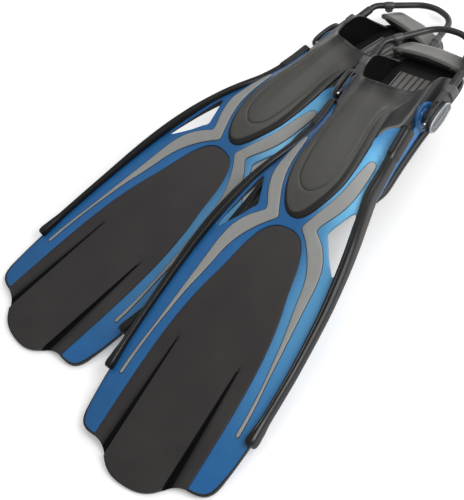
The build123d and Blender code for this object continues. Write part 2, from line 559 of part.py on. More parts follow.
    def radius(a, b, c, most):
        d0, d1 = (b - a), (c - b)
        turn = math.radians(d0.get_angle(d1))
        return min(most, 0.45 * min(d0.length, d1.length) / math.tan(turn / 2))
    r1 = radius(p0, p1, p2, 19.5)
    r2 = radius(p1, p2, m(p2), 60.0)
    path = FilletPolyline(*[tuple(v) for v in pts], radius=[r1, r2, r2, r1])
    print('bungee bends, mm:', round(r1, 1), round(r2, 1), 'length', round(path.length, 1))
    start = Plane(origin=p0, z_dir=(p1 - p0))
    cord = sweep(start * Circle(BUNGEE_R), path=path)
    cord = one(cord)
    print('bungee volume / (section x length):', round(cord.volume / (math.pi * BUNGEE_R ** 2 * path.length), 4))
    out['bungee'] = ('strap', [cord])

    # 18. heel pad: band across behind the heel, turned face up, with a keeper each side ---
    secs = []
    for x in (-58, -50, -38, -20, 0, 20, 38, 50, 58):
        ax = abs(x)
        f = Vector(s(x), s(interp(PAD_FRONT_Y, ax)), s(interp(PAD_FRONT_Z, ax)))
        b = Vector(s(x), s(interp(PAD_BACK_Y, ax)), s(interp(PAD_BACK_Z, ax)))
        d = (b - f).normalized()
        nrm = Vector(0, -d.Z, d.Y)
        # lip turned down along the front edge, shorter towards the ends
        t = min(1.0, max(0.0, (ax - 40) / 18.0))
        drop = 12.0 - 6.0 * t * t * (3 - 2 * t)
        q = [f + nrm * (-1.6), f + d * 1.6, b - d * 1.6, b + nrm * (-1.6), b + nrm * (-PAD_T + 1.2),
             b - d * 1.6 + nrm * (-PAD_T), Vector(f.X, f.Y + 4.6, f.Z - 6.6), Vector(f.X, f.Y + 4.2, f.Z - drop),
             Vector(f.X, f.Y + 0.6, f.Z - drop)]
        secs.append([tuple(v) for v in q])
    pad = section_loft(secs)
    for sg in (1, -1):
        k0 = p1 + (p2 - p1) * 0.17
        k1 = p1 + (p2 - p1) * 0.33
        mk = (lambda v: v) if sg > 0 else m
        ks = Plane(origin=mk(k0), z_dir=mk(k1) - mk(k0))
        keep = Solid.make_cylinder(BUNGEE_R + 1.7, (k1 - k0).length, ks)
        c = (k0 + k1) * 0.5
        foot = box_between(-6, 6, -6, 6, -10.5, 0).moved(Location((sg * c.X, c.Y, c.Z), (-32, 0, 0)))
        keep = one(keep + foot)
        pad = one(pad + keep)
        pad = one(pad - Solid.make_cylinder(BUNGEE_R, (k1 - k0).length + 30, Plane(origin=mk(k0 - (k1 - k0).normalized() * 15), z_dir=mk(k1) - mk(k0))))
    out['heel_pad'] = ('strap', [pad])
    return out


PAD_FRONT_Y = [(0, 288.5), (30, 287.3), (48, 285.5), (58, 285.0)]
PAD_FRONT_Z = [(0, -51.0), (30, -51.3), (48, -52.5), (58, -54.5)]
PAD_BACK_Y = [(0, 316.5), (44, 313.5), (58, 309.0)]
PAD_BACK_Z = [(0, -70.0), (44, -70.5), (58, -73.5)]
POCKET_SIDE = [(4, 0), (12, 19), (22.5, 27), (34.5, 33.5), (48, 39.5), (62, 44), (78, 47.5), (96, 50), (120, 52),
               (150, 54), (180, 55.6), (205, 56.4), (232, 56.0), (258, 55.0), (276, 52.5)]
ARM_OUT = [(92, 73.6), (104, 70.7), (131, 65.9), (150, 63.6), (164, 62.0), (176, 60.6), (184, 59.8), (200, 59.4)]
LOW_OUT = [(70, 77.5), (82, 75.6), (94, 73.6), (108, 71.4), (124, 69.0), (142, 66.6), (160, 64.6), (180, 62.8),
           (200, 61.4), (214, 60.6)]

def place_lower(shape):
    """Right fin: on the floor, turned to one side."""
    q = shape.moved(Location((0, 0, 0), (FLOOR_PITCH, 0, 0)))
    q = q.moved(Location((0, 0, FLOOR_LIFT)))
    q = q.moved(Location((0, 0, 0), (0, 0, -HALF_YAW)))
    return q.moved(Location((PAIR_SHIFT[0], PAIR_SHIFT[1], 0)))


def place_upper(shape):
    """Left fin: rolled and pitched onto the right one, then set down with it."""
    q = shape.moved(Location((0, 0, 0), (0, UPPER_ROLL, 0)))
    q = q.moved(Location((0, 0, 0), (UPPER_PITCH, 0, 0)))
    q = q.moved(Location((0, 0, 0), (0, 0, UPPER_YAW)))
    return place_lower(q.moved(Location(UPPER_AT)))


def main():
    os.makedirs("parts", exist_ok=True)
    fin = build_fin()
    low, high = [1e9] * 3, [-1e9] * 3
    for side, place in (("right", place_lower), ("left", place_upper)):
        for name, (body, sols) in fin.items():
            placed = [place(q) for q in sols]
            shape = placed[0] if len(placed) == 1 else Compound(children=placed)
            node = side + "_" + name
            export_step(shape, "parts/" + node + ".step")
            bb = shape.bounding_box()
            for k in range(3):
                low[k] = min(low[k], tuple(bb.min)[k])
                high[k] = max(high[k], tuple(bb.max)[k])
            if side == "right":
                print(name, body, round(sum(q.volume for q in sols)), all(q.is_valid for q in placed))
    print("pair from", [round(v, 3) for v in low], "to", [round(v, 3) for v in high])
    for side, place in (("right", place_lower), ("left", place_upper)):
        for nm, sg in (("l", 1), ("r", -1)):
            for what, p, d in (("strap axis", (0, s(BOSS_Y), s(BOSS_Z)), (1, 0, 0)),
                               ("lever pin " + nm, tuple(strap_pt(sg * PIN_X, PIN_U)), tuple(strap_pt(0, 0, 1) - strap_pt(0, 0)))):
                a, b = [tuple(place(Solid.make_sphere(1.0).moved(Location(v))).center()) for v in (p, tuple(p[i] + 100 * d[i] for i in range(3)))]
                print(side, what, [round(v, 4) for v in a], "dir", [round((b[i] - a[i]) / 100, 6) for i in range(3)])


if __name__ == "__main__":
    main()
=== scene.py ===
import json
import math

import bmesh
import bpy
import numpy as np
from mathutils import Matrix, Vector
from mathutils.geometry import delaunay_2d_cdt


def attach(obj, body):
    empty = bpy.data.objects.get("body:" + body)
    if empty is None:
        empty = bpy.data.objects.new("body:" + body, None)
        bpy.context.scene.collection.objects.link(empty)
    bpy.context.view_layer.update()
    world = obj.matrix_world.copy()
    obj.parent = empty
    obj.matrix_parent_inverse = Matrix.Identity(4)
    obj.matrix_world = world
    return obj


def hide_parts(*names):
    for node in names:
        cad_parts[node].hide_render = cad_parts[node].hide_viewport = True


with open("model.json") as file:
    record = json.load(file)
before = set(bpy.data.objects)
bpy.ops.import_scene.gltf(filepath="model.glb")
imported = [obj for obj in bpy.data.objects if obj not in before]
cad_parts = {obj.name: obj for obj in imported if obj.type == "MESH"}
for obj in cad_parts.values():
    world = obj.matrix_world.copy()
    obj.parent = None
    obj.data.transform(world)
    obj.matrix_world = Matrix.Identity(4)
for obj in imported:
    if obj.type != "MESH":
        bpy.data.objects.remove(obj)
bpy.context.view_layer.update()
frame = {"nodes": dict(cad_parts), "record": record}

# ---------------------------------------------------------------------------
# Fin frame: x across, y from the blade tip (-) to the heel (+), z out of the
# blade's top.  Tables are in pattern millimetres; K turns them into metres.
# ---------------------------------------------------------------------------
K = 0.95
MM = 0.001
KM = K * MM


def interp(table, t):
    ts = [p[0] for p in table]
    vs = [p[1] for p in table]
    n = len(ts)
    if t <= ts[0]:
        return vs[0]
    if t >= ts[-1]:
        return vs[-1]
    d = [(vs[i + 1] - vs[i]) / (ts[i + 1] - ts[i]) for i in range(n - 1)]
    m = [d[0]] + [0.0] * (n - 2) + [d[-1]]
    for i in range(1, n - 1):
        if d[i - 1] * d[i] > 0:
            m[i] = 2 * d[i - 1] * d[i] / (d[i - 1] + d[i])
    for i in range(n - 1):
        if t <= ts[i + 1]:
            h = ts[i + 1] - ts[i]
            u = (t - ts[i]) / h
            return ((2 * u ** 3 - 3 * u ** 2 + 1) * vs[i] + (u ** 3 - 2 * u ** 2 + u) * h * m[i]
                    + (-2 * u ** 3 + 3 * u ** 2) * vs[i + 1] + (u ** 3 - u ** 2) * h * m[i + 1])
    return vs[-1]


def vinterp(table, t):
    """interp for an array."""
    ts = np.array([p[0] for p in table], float)
    vs = np.array([p[1] for p in table], float)
    d = np.diff(vs) / np.diff(ts)
    m = np.concatenate([[d[0]], np.zeros(len(ts) - 2), [d[-1]]])
    a, b = d[:-1], d[1:]
    ok = a * b > 0
    m[1:-1][ok] = 2 * a[ok] * b[ok] / (a[ok] + b[ok])
    t = np.clip(np.asarray(t, float), ts[0], ts[-1])
    i = np.clip(np.searchsorted(ts, t, side="right") - 1, 0, len(ts) - 2)
    h = ts[i + 1] - ts[i]
    u = (t - ts[i]) / h
    return ((2 * u ** 3 - 3 * u ** 2 + 1) * vs[i] + (u ** 3 - 2 * u ** 2 + u) * h * m[i]
            + (-2 * u ** 3 + 3 * u ** 2) * vs[i + 1] + (u ** 3 - u ** 2) * h * m[i + 1])


SURF_X = (0, 20, 40, 60, 80, 100, 120, 136)
SURF = {
    -392: (0, 0, 0, 0, -0.5, -2.5, -5.0, -7.0),
    -300: (0, 0, 0, 0, -0.5, -2.5, -5.0, -7.0),
    -200: (0, 0, 0, 0, -0.4, -2.0, -4.0, -6.0),
    -120: (0, 0, 0, 0, 0, -1.0, -2.5, -4.0),
    -60: (0, 0, 0.5, 1.0, 1.0, 0.5, -1.0, -2.0),
    -20: (1.0, 1.5, 2.5, 3.0, 3.0, 2.0, 0.5, -1.0),
    0: (3.0, 3.5, 4.0, 4.0, 3.5, 2.5, 1.0, 0),
    20: (6.5, 6.2, 5.8, 5.0, 4.0, 2.5, 1.0, 0),
    45: (9.5, 8.8, 7.2, 5.0, 3.0, 1.0, -1.0, -2.0),
    75: (11.0, 9.8, 6.8, 2.0, -2.5, -6.0, -8.0, -9.0),
    105: (11.0, 9.4, 4.2, -4.0, -11.0, -15.0, -17.0, -18.0),
    135: (10.0, 7.8, 0.5, -11.0, -17.0, -20.0, -22.0, -23.0),
    165: (8.5, 5.6, -3.5, -14.5, -20.0, -23.0, -25.0, -26.0),
    195: (7.5, 4.0, -7.0, -17.5, -23.0, -26.0, -28.0, -29.0),
    219: (7.0, 3.4, -9.0, -19.5, -25.0, -28.0, -30.0, -31.0),
    250: (6.5, 2.6, -11.0, -22.0, -27.0, -30.0, -32.0, -33.0),
    300: (6.0, 2.0, -13.0, -25.0, -30.0, -33.0, -35.0, -36.0),
}
_ys = sorted(SURF)


def surf_z(x, y):
    """Height of the fin's top surface at pattern (x, y), arrays."""
    x, y = np.broadcast_arrays(np.abs(np.asarray(x, float)), np.asarray(y, float))
    rows = np.stack([vinterp(list(zip(SURF_X, SURF[yy])), x) for yy in _ys])
    ts = np.array(_ys, float)
    d = np.diff(rows, axis=0) / np.diff(ts).reshape((-1,) + (1,) * x.ndim)
    m = np.concatenate([d[:1], np.zeros_like(d[:-1]), d[-1:]])
    a, b = d[:-1], d[1:]
    ok = a * b > 0
    m[1:-1] = np.where(ok, 2 * a * b / np.where(ok, a + b, 1), 0)
    t = np.clip(y, ts[0], ts[-1])
    i = np.clip(np.searchsorted(ts, t, side="right") - 1, 0, len(ts) - 2)
    h = ts[i + 1] - ts[i]
    u = (t - ts[i]) / h
    g = lambda arr, k: np.take_along_axis(arr, k[None], 0)[0]
    return ((2 * u ** 3 - 3 * u ** 2 + 1) * g(rows, i) + (u ** 3 - 2 * u ** 2 + u) * h * g(m, i)
            + (-2 * u ** 3 + 3 * u ** 2) * g(rows, i + 1) + (u ** 3 - u ** 2) * h * g(m, i + 1))


TIP = [(0, -378), (15, -377), (29, -373.5), (40, -367.5), (50, -359), (58, -351.8), (67, -347),
       (77, -344.6), (88, -343.8), (97, -342.2), (104.5, -338.6), (110, -332), (113, -323.5),
       (114.6, -312), (116.6, -292), (118.0, -272), (118.4, -258)]
SIDE = [(118.6, -240), (117.8, -183), (116, -150), (112, -91), (104.6, -40), (96.2, 0),
        (90.4, 22), (82.5, 50), (78.2, 64), (74.4, 77), (71.4, 90), (68.4, 104), (63.7, 131), (61.2, 160),
        (60.4, 174)]
RAIL_OUT = [(-262, 122), (-241, 121.9), (-183, 121.3), (-150, 120.3), (-91, 117), (-40, 110.5),
            (0, 102), (22, 96), (50, 88), (64, 83.5), (77, 79.5), (90, 76.5), (104, 73.3),
            (131, 68.5), (160, 66), (176, 65.2)]
RAIL_IN = [(-262, 114.2), (-241, 114.4), (-183, 113.6), (-150, 111.8), (-91, 106.8), (-40, 98.8),
           (0, 90.2), (22, 84.6), (50, 77), (64, 73), (77, 69.4), (90, 66.6), (104, 63.6),
           (131, 59.0), (160, 56.6), (176, 56.0)]
RAIL_TOP = [(-262, 1.6), (-241, 1.6), (-183, 2.0), (-150, 2.6), (-91, 5.2), (-40, 7.6), (0, 8.4),
            (22, 8.0), (50, 5.4), (64, 3.0), (77, 0), (90, -4.0), (104, -8.0), (131, -12.5),
            (160, -14.5), (176, -15.0)]
RAIL_BOT = [(-262, -9.5), (-241, -10.5), (-183, -10.0), (-150, -9.0), (-91, -7.0), (-40, -6.5),
            (0, -8.0), (22, -9.5), (50, -12.5), (64, -14.5), (77, -17.0), (90, -20.0),
            (104, -23.0), (131, -26.5), (160, -28.0), (176, -28.5)]
PANEL = [(0, -7.5), (10, -8.0), (18, -10.4), (25.5, -15), (32.5, -22.5), (38.5, -33), (45, -50),
         (50, -70), (54.6, -89), (59.5, -105), (63.8, -121), (68, -140), (71.5, -160),
         (74.5, -185), (76.6, -212), (78.2, -250), (78.9, -290), (79.2, -330), (79.3, -348)]
STR_LO_IN = [(20.7, 0.0), (24.5, -5.0), (30, -9.5), (39.5, -19), (48.5, -30), (56, -41), (62.6, -54),
             (67.6, -69), (70.6, -84), (74.6, -102), (79.2, -121), (83.6, -141), (87.0, -163),
             (90.8, -186), (93.7, -212), (95.6, -236), (96.6, -261)]
STR_LO_OUT = [(41, 2.5), (46, -2), (58.8, -12.5), (68, -23.5), (74.5, -34.9), (79, -49), (81.4, -63),
              (83.2, -82), (85.2, -103), (87.4, -124), (89.4, -145), (91.6, -167), (93.6, -188),
              (96.8, -213), (99.0, -237), (100.2, -261)]
STR_UP_IN = [(20.7, 0.0), (24.6, 9.5), (30, 20.5), (36, 33), (41.2, 46), (44.4, 57), (46.4, 69),
             (47.6, 81), (48.6, 94), (49.6, 105)]
STR_UP_OUT = [(41, 2.5), (43, 9.8), (48.3, 18.6), (53, 26.8), (57.6, 36.4), (61, 46.5), (62.8, 57),
              (63.0, 67), (62.4, 79), (61.2, 92), (59.2, 105)]
STR_TOP = (54.4, 113)
WINDOW = [(74.6, 41.5), (77.6, 38.5), (81.6, 24), (86.6, 4), (91.4, -16), (95.2, -35), (96.0, -40.2),
          (93.8, -41.0), (84, -31.5), (72, -17), (62, -2.5), (57.0, 4.2), (58.6, 10.5), (66, 27.5),
          (72.4, 39.8)]
TOE = [(0, 6.5), (8, 8.0), (15.5, 13), (22.5, 21.5), (28.8, 32.5), (34, 44.5), (38.2, 57.5), (40.6, 68),
       (41.6, 79), (41.8, 92), (41.2, 106), (39.8, 125), (38.0, 146), (36.6, 166), (36.8, 183),
       (39.6, 198), (43.5, 209)]
POCKET = [(0, 4.0), (10, 6.0), (19, 12), (27, 22.5), (33.5, 34.5), (39.5, 48), (44, 62), (47.5, 78),
          (50, 96), (52, 120), (54, 150), (55.6, 180), (56.4, 205), (56.0, 232), (55.0, 258),
          (52.5, 276), (46, 286.5), (34, 290.5), (16, 291), (0, 291)]
INSTEP_END = [(0, 211.5), (15, 212.0), (28, 214.5), (38, 219), (46, 227), (52, 240), (56, 262), (57, 300)]
WALL_TOP = [(205, -14), (222, -19.5), (238, -25), (252, -29.5), (261, -35), (268, -46), (273, -58), (278, -69),
            (292, -77)]
POCKET_SIDE = [(4, 0), (12, 19), (22.5, 27), (34.5, 33.5), (48, 39.5), (62, 44), (78, 47.5), (96, 50), (120, 52),
               (150, 54), (180, 55.6), (205, 56.4), (232, 56.0), (258, 55.0), (276, 52.5)]


def sole_z(y):
    return -22.0 - 0.231 * (y - 20.0)


# ---- place of the two fins ---------------------------------------------------
def T(x, y, z):
    return Matrix.Translation((x, y, z))


def R(deg, ax):
    return Matrix.Rotation(math.radians(deg), 4, ax)


HALF_YAW = 8.48
LOWER = T(-0.09291, 0.03032, 0) @ R(-HALF_YAW, "Z") @ T(0, 0, 0.04649) @ R(6.95, "X")
UPPER = LOWER @ T(0.19014, -0.01638, 0.02635) @ R(2 * HALF_YAW, "Z") @ R(4.2, "X") @ R(3.0, "Y")
FINS = {"right": LOWER, "left": UPPER}


# ---- curves -------------------------------------------------------------------
def smooth(points, step=2.5, closed=False):
    """Centripetal Catmull-Rom through plan points, resampled about every step mm."""
    P = np.array(points, float)
    n = len(P)
    out = []
    segs = n if closed else n - 1
    for i in range(segs):
        if closed:
            p0, p1, p2, p3 = P[(i - 1) % n], P[i], P[(i + 1) % n], P[(i + 2) % n]
        else:
            p1, p2 = P[i], P[i + 1]
            p0 = P[i - 1] if i > 0 else 2 * p1 - p2
            p3 = P[i + 2] if i + 2 < n else 2 * p2 - p1
        t0 = 0.0
        t1 = t0 + np.linalg.norm(p1 - p0) ** 0.5
        t2 = t1 + np.linalg.norm(p2 - p1) ** 0.5
        t3 = t2 + np.linalg.norm(p3 - p2) ** 0.5
        m = max(1, int(math.ceil(np.linalg.norm(p2 - p1) / step)))
        for k in range(m):
            t = t1 + (t2 - t1) * k / m
            a1 = (t1 - t) / (t1 - t0) * p0 + (t - t0) / (t1 - t0) * p1
            a2 = (t2 - t) / (t2 - t1) * p1 + (t - t1) / (t2 - t1) * p2
            a3 = (t3 - t) / (t3 - t2) * p2 + (t - t2) / (t3 - t2) * p3
            b1 = (t2 - t) / (t2 - t0) * a1 + (t - t0) / (t2 - t0) * a2
            b2 = (t3 - t) / (t3 - t1) * a2 + (t - t1) / (t3 - t1) * a3
            out.append((t2 - t) / (t2 - t1) * b1 + (t - t1) / (t2 - t1) * b2)
    if not closed:
        out.append(P[-1])
    return np.array(out)


def mirrored(half):
    """Full outline from a right half that starts on x = 0."""
    half = np.asarray(half, float)
    left = half[::-1].copy()
    left[:, 0] *= -1
    return np.vstack([left[:-1], half])


def area2(P):
    return 0.5 * float(np.sum(P[:, 0] * np.roll(P[:, 1], -1) - np.roll(P[:, 0], -1) * P[:, 1]))


def resample(P, step, closed=True):
    Q = np.vstack([P, P[:1]]) if closed else P
    L = np.concatenate([[0], np.cumsum(np.linalg.norm(np.diff(Q, axis=0), axis=1))])
    n = max(8, int(round(L[-1] / step)))
    t = np.linspace(0, L[-1], n + 1)[: n if closed else n + 1]
    return np.stack([np.interp(t, L, Q[:, k]) for k in range(Q.shape[1])], 1)


def offset(P, d):
    """Closed loop moved towards its inside by d (loop counter-clockwise)."""
    a = np.roll(P, 1, 0)
    b = np.roll(P, -1, 0)
    t1 = P - a
    t2 = b - P
    n1 = np.stack([-t1[:, 1], t1[:, 0]], 1) / (np.linalg.norm(t1, axis=1)[:, None] + 1e-9)
    n2 = np.stack([-t2[:, 1], t2[:, 0]], 1) / (np.linalg.norm(t2, axis=1)[:, None] + 1e-9)
    n = n1 + n2
    L = np.linalg.norm(n, axis=1)[:, None]
    n = n / np.maximum(L, 0.35) * np.minimum(1.0 / np.maximum(L / 2, 0.5), 1.6) / 1.0
    return P + n * d


def inside(P, x, y):
    """Which (x, y) lie in the closed polygon P."""
    x = np.asarray(x, float)
    y = np.asarray(y, float)
    r = np.zeros(x.shape, bool)
    px, py = P[:, 0], P[:, 1]
    qx, qy = np.roll(px, -1), np.roll(py, -1)
    for i in range(len(P)):
        if (py[i] > y.min() or qy[i] > y.min()) and py[i] != qy[i]:
            c = ((py[i] > y) != (qy[i] > y)) & (x < (qx[i] - px[i]) * (y - py[i]) / (qy[i] - py[i]) + px[i])
            r ^= c
    return r


def dist_to(loops, x, y):
    """Distance from points to the nearest of some closed loops."""
    best = np.full(x.shape, 1e9)
    pts = np.stack([x, y], -1)
    for P in loops:
        A = P
        B = np.roll(P, -1, 0)
        for i in range(0, len(pts), 4000):
            q = pts[i:i + 4000][:, None, :]
            ab = (B - A)[None]
            t = np.clip(((q - A[None]) * ab).sum(-1) / ((ab ** 2).sum(-1) + 1e-9), 0, 1)
            d = np.linalg.norm(q - (A[None] + ab * t[..., None]), axis=-1).min(1)
            best[i:i + 4000] = np.minimum(best[i:i + 4000], d)
    return best


# ---- mesh helpers --------------------------------------------------------------
def new_object(name, verts, faces, M=None):
    me = bpy.data.meshes.new(name)
    me.from_pydata([tuple(v) for v in verts], [], [tuple(f) for f in faces])
    me.update()
    ob = bpy.data.objects.new(name, me)
    bpy.context.scene.collection.objects.link(ob)
    if M is not None:
        ob.matrix_world = M
    return ob


def shade(ob, angle=None):
    me = ob.data
    me.polygons.foreach_set("use_smooth", [True] * len(me.polygons))
    if angle is not None:
        me.set_sharp_from_angle(angle=math.radians(angle))
    me.update()


def tidy(ob, dist=1e-6):
    bm = bmesh.new()
    bm.from_mesh(ob.data)
    bmesh.ops.remove_doubles(bm, verts=bm.verts, dist=dist)
    bmesh.ops.recalc_face_normals(bm, faces=bm.faces)
    bm.to_mesh(ob.data)
    bm.free()


def paint_light_and_tone(ob, rule, name="painted_shade_and_tone"):
    """Per-point value from rule(x, y, z, nz), pattern mm in the piece's own axes, kept as an attribute: by default the
    painted shade (on a few pieces their own darker tone), otherwise the named one such as the painted sheen.
    """
    me = ob.data
    n = len(me.vertices)
    co = np.empty(n * 3)
    me.vertices.foreach_get("co", co)
    co = co.reshape(-1, 3) / KM
    nn = np.array([v.normal.z for v in me.vertices])
    v = np.broadcast_to(np.asarray(rule(co[:, 0], co[:, 1], co[:, 2], nn), float), (n,))
    at = me.attributes.get(name) or me.attributes.new(name, "FLOAT", "POINT")
    at.data.foreach_set("value", np.clip(v, 0, 1).astype(np.float32))
    me.update()


def modify(ob, kind, **kw):
    m = ob.modifiers.new(kind.lower(), kind)
    for k, v in kw.items():
        setattr(m, k, v)
    return m


def apply_all(ob):
    dg = bpy.context.evaluated_depsgraph_get()
    ev = ob.evaluated_get(dg)
    me = bpy.data.meshes.new_from_object(ev)
    old = ob.data
    ob.modifiers.clear()
    ob.data = me
    bpy.data.meshes.remove(old)


def plate(name, outer, holes, top, bottom, r=1.2, rb=0.6, step=2.6, grid=5.0, lines=(), round_holes=True):
    """Closed moulded plate over a plan outline.

    top and bottom give heights (pattern mm) over plan arrays; r and rb are the edge
    roundings of its upper and lower edges; lines are extra plan polylines the mesh follows.
    """
    outer = resample(np.asarray(outer, float), step)
    if area2(outer) < 0:
        outer = outer[::-1]
    hs = []
    for h in holes:
        h = resample(np.asarray(h, float), step)
        if area2(h) > 0:
            h = h[::-1]
        hs.append(h)
    loops = [outer] + hs
    rings = []
    for L in loops:
        rr = [L]
        for d in (0.18 * r, 0.5 * r, r):
            rr.append(offset(L, d))
        rings.append(rr)
    pts, edges = [], []

    def add_loop(L, closed=True):
        b = len(pts)
        pts.extend([Vector((float(p[0]), float(p[1]))) for p in L])
        n = len(L)
        edges.extend([(b + i, b + (i + 1) % n) for i in range(n if closed else n - 1)])
    for rr in rings:
        for L in rr:
            add_loop(L)
    for L in lines:
        L = np.asarray(L, float)
        ins = inside(outer, L[:, 0], L[:, 1])
        for h in hs:
            ins &= ~inside(h, L[:, 0], L[:, 1])
        ins &= dist_to(loops, L[:, 0], L[:, 1]) > r * 1.3
        run = []
        for p, k in zip(L, ins):
            if k:
                run.append(p)
            else:
                if len(run) > 1:
                    add_loop(run, False)
                run = []
        if len(run) > 1:
            add_loop(run, False)
    x0, y0 = outer.min(0)
    x1, y1 = outer.max(0)
    gx, gy = np.meshgrid(np.arange(x0, x1 + grid, grid), np.arange(y0, y1 + grid, grid * 0.866))
    gx = gx + (np.arange(gx.shape[0]) % 2)[:, None] * grid / 2
    gx, gy = gx.ravel(), gy.ravel()
    keep = inside(outer, gx, gy)
    for h in hs:
        keep &= ~inside(h, gx, gy)
    gx, gy = gx[keep], gy[keep]
    keep = dist_to(loops, gx, gy) > r + grid * 0.4
    gx, gy = gx[keep], gy[keep]
    if lines:
        lp = np.vstack([np.asarray(L, float) for L in lines])
        d = np.full(len(gx), 1e9)
        for i in range(0, len(gx), 2000):
            d[i:i + 2000] = np.linalg.norm(np.stack([gx, gy], 1)[i:i + 2000, None] - lp[None], axis=-1).min(1)
        keep = d > grid * 0.35
        gx, gy = gx[keep], gy[keep]
    pts.extend([Vector((float(a), float(b))) for a, b in zip(gx, gy)])
    v2, e2, f2, ov, oe, of = delaunay_2d_cdt(pts, edges, [], 0, 1e-5)
    V = np.array([(v.x, v.y) for v in v2])
    F = np.array([f for f in f2 if len(f) == 3], int)
    c = V[F].mean(1)
    ok = inside(outer, c[:, 0], c[:, 1])
    for h in hs:
        ok &= ~inside(h, c[:, 0], c[:, 1])
    F = F[ok]
    used = np.unique(F)
    remap = -np.ones(len(V), int)
    remap[used] = np.arange(len(used))
    V = V[used]
    F = remap[F]
    a, b, cc = V[F[:, 0]], V[F[:, 1]], V[F[:, 2]]
    flip = ((b - a)[:, 0] * (cc - a)[:, 1] - (b - a)[:, 1] * (cc - a)[:, 0]) < 0
    F[flip] = F[flip][:, ::-1]
    d = dist_to(loops if round_holes else [outer], V[:, 0], V[:, 1])
    zt = np.asarray(top(V[:, 0], V[:, 1]), float)
    zb = np.asarray(bottom(V[:, 0], V[:, 1]), float)
    k = np.clip(d / r, 0, 1)
    zt = zt - r * (1 - np.sqrt(np.clip(1 - (1 - k) ** 2, 0, 1)))
    k = np.clip(d / rb, 0, 1)
    zb = zb + rb * (1 - np.sqrt(np.clip(1 - (1 - k) ** 2, 0, 1)))
    zb = np.minimum(zb, zt - 0.05)
    n = len(V)
    verts = np.vstack([np.c_[V, zt], np.c_[V, zb]])
    faces = [tuple(f) for f in F] + [tuple(f[::-1] + n) for f in F]
    ecount = {}
    for f in F:
        for i in range(3):
            e = (int(f[i]), int(f[(i + 1) % 3]))
            ecount[e] = ecount.get(e, 0) + 1
    for (i, j) in ecount:
        if (j, i) not in ecount:
            faces.append((j, i, i + n, j + n))
    verts[:, :3] *= KM
    ob = new_object(name, verts, faces)
    shade(ob, 38)
    return ob


def loft(name, sections, closed=True, caps=True):
    """Tube through rings of equal length (metres)."""
    S = np.asarray(sections, float)
    n, m = S.shape[0], S.shape[1]
    verts = S.reshape(-1, 3)
    faces = []
    for i in range(n - 1):
        for j in range(m if closed else m - 1):
            a, b = i * m + j, i * m + (j + 1) % m
            faces.append((a, b, b + m, a + m))
    if caps and closed:
        faces.append(tuple(range(m))[::-1])
        faces.append(tuple((n - 1) * m + j for j in range(m)))
    ob = new_object(name, verts, faces)
    tidy(ob)
    return ob


def tube(name, path, radii, sides=20, up=None, close_ends=True):
    """Round tube along points, radius per point."""
    P = np.asarray(path, float)
    n = len(P)
    t = np.gradient(P, axis=0)
    t /= np.linalg.norm(t, axis=1)[:, None]
    nrm = np.cross(t[0], (0, 0, 1) if abs(t[0][2]) < 0.9 else (1, 0, 0))
    nrm /= np.linalg.norm(nrm)
    S = []
    for i in range(n):
        nrm = nrm - t[i] * np.dot(nrm, t[i])
        nrm /= np.linalg.norm(nrm)
        bi = np.cross(t[i], nrm)
        a = np.linspace(0, 2 * math.pi, sides, endpoint=False)
        r_ = radii[i] if hasattr(radii, "__len__") else radii
        S.append(P[i] + r_ * (np.cos(a)[:, None] * nrm + np.sin(a)[:, None] * bi))
    ob = loft(name, S)
    shade(ob, 50)
    return ob


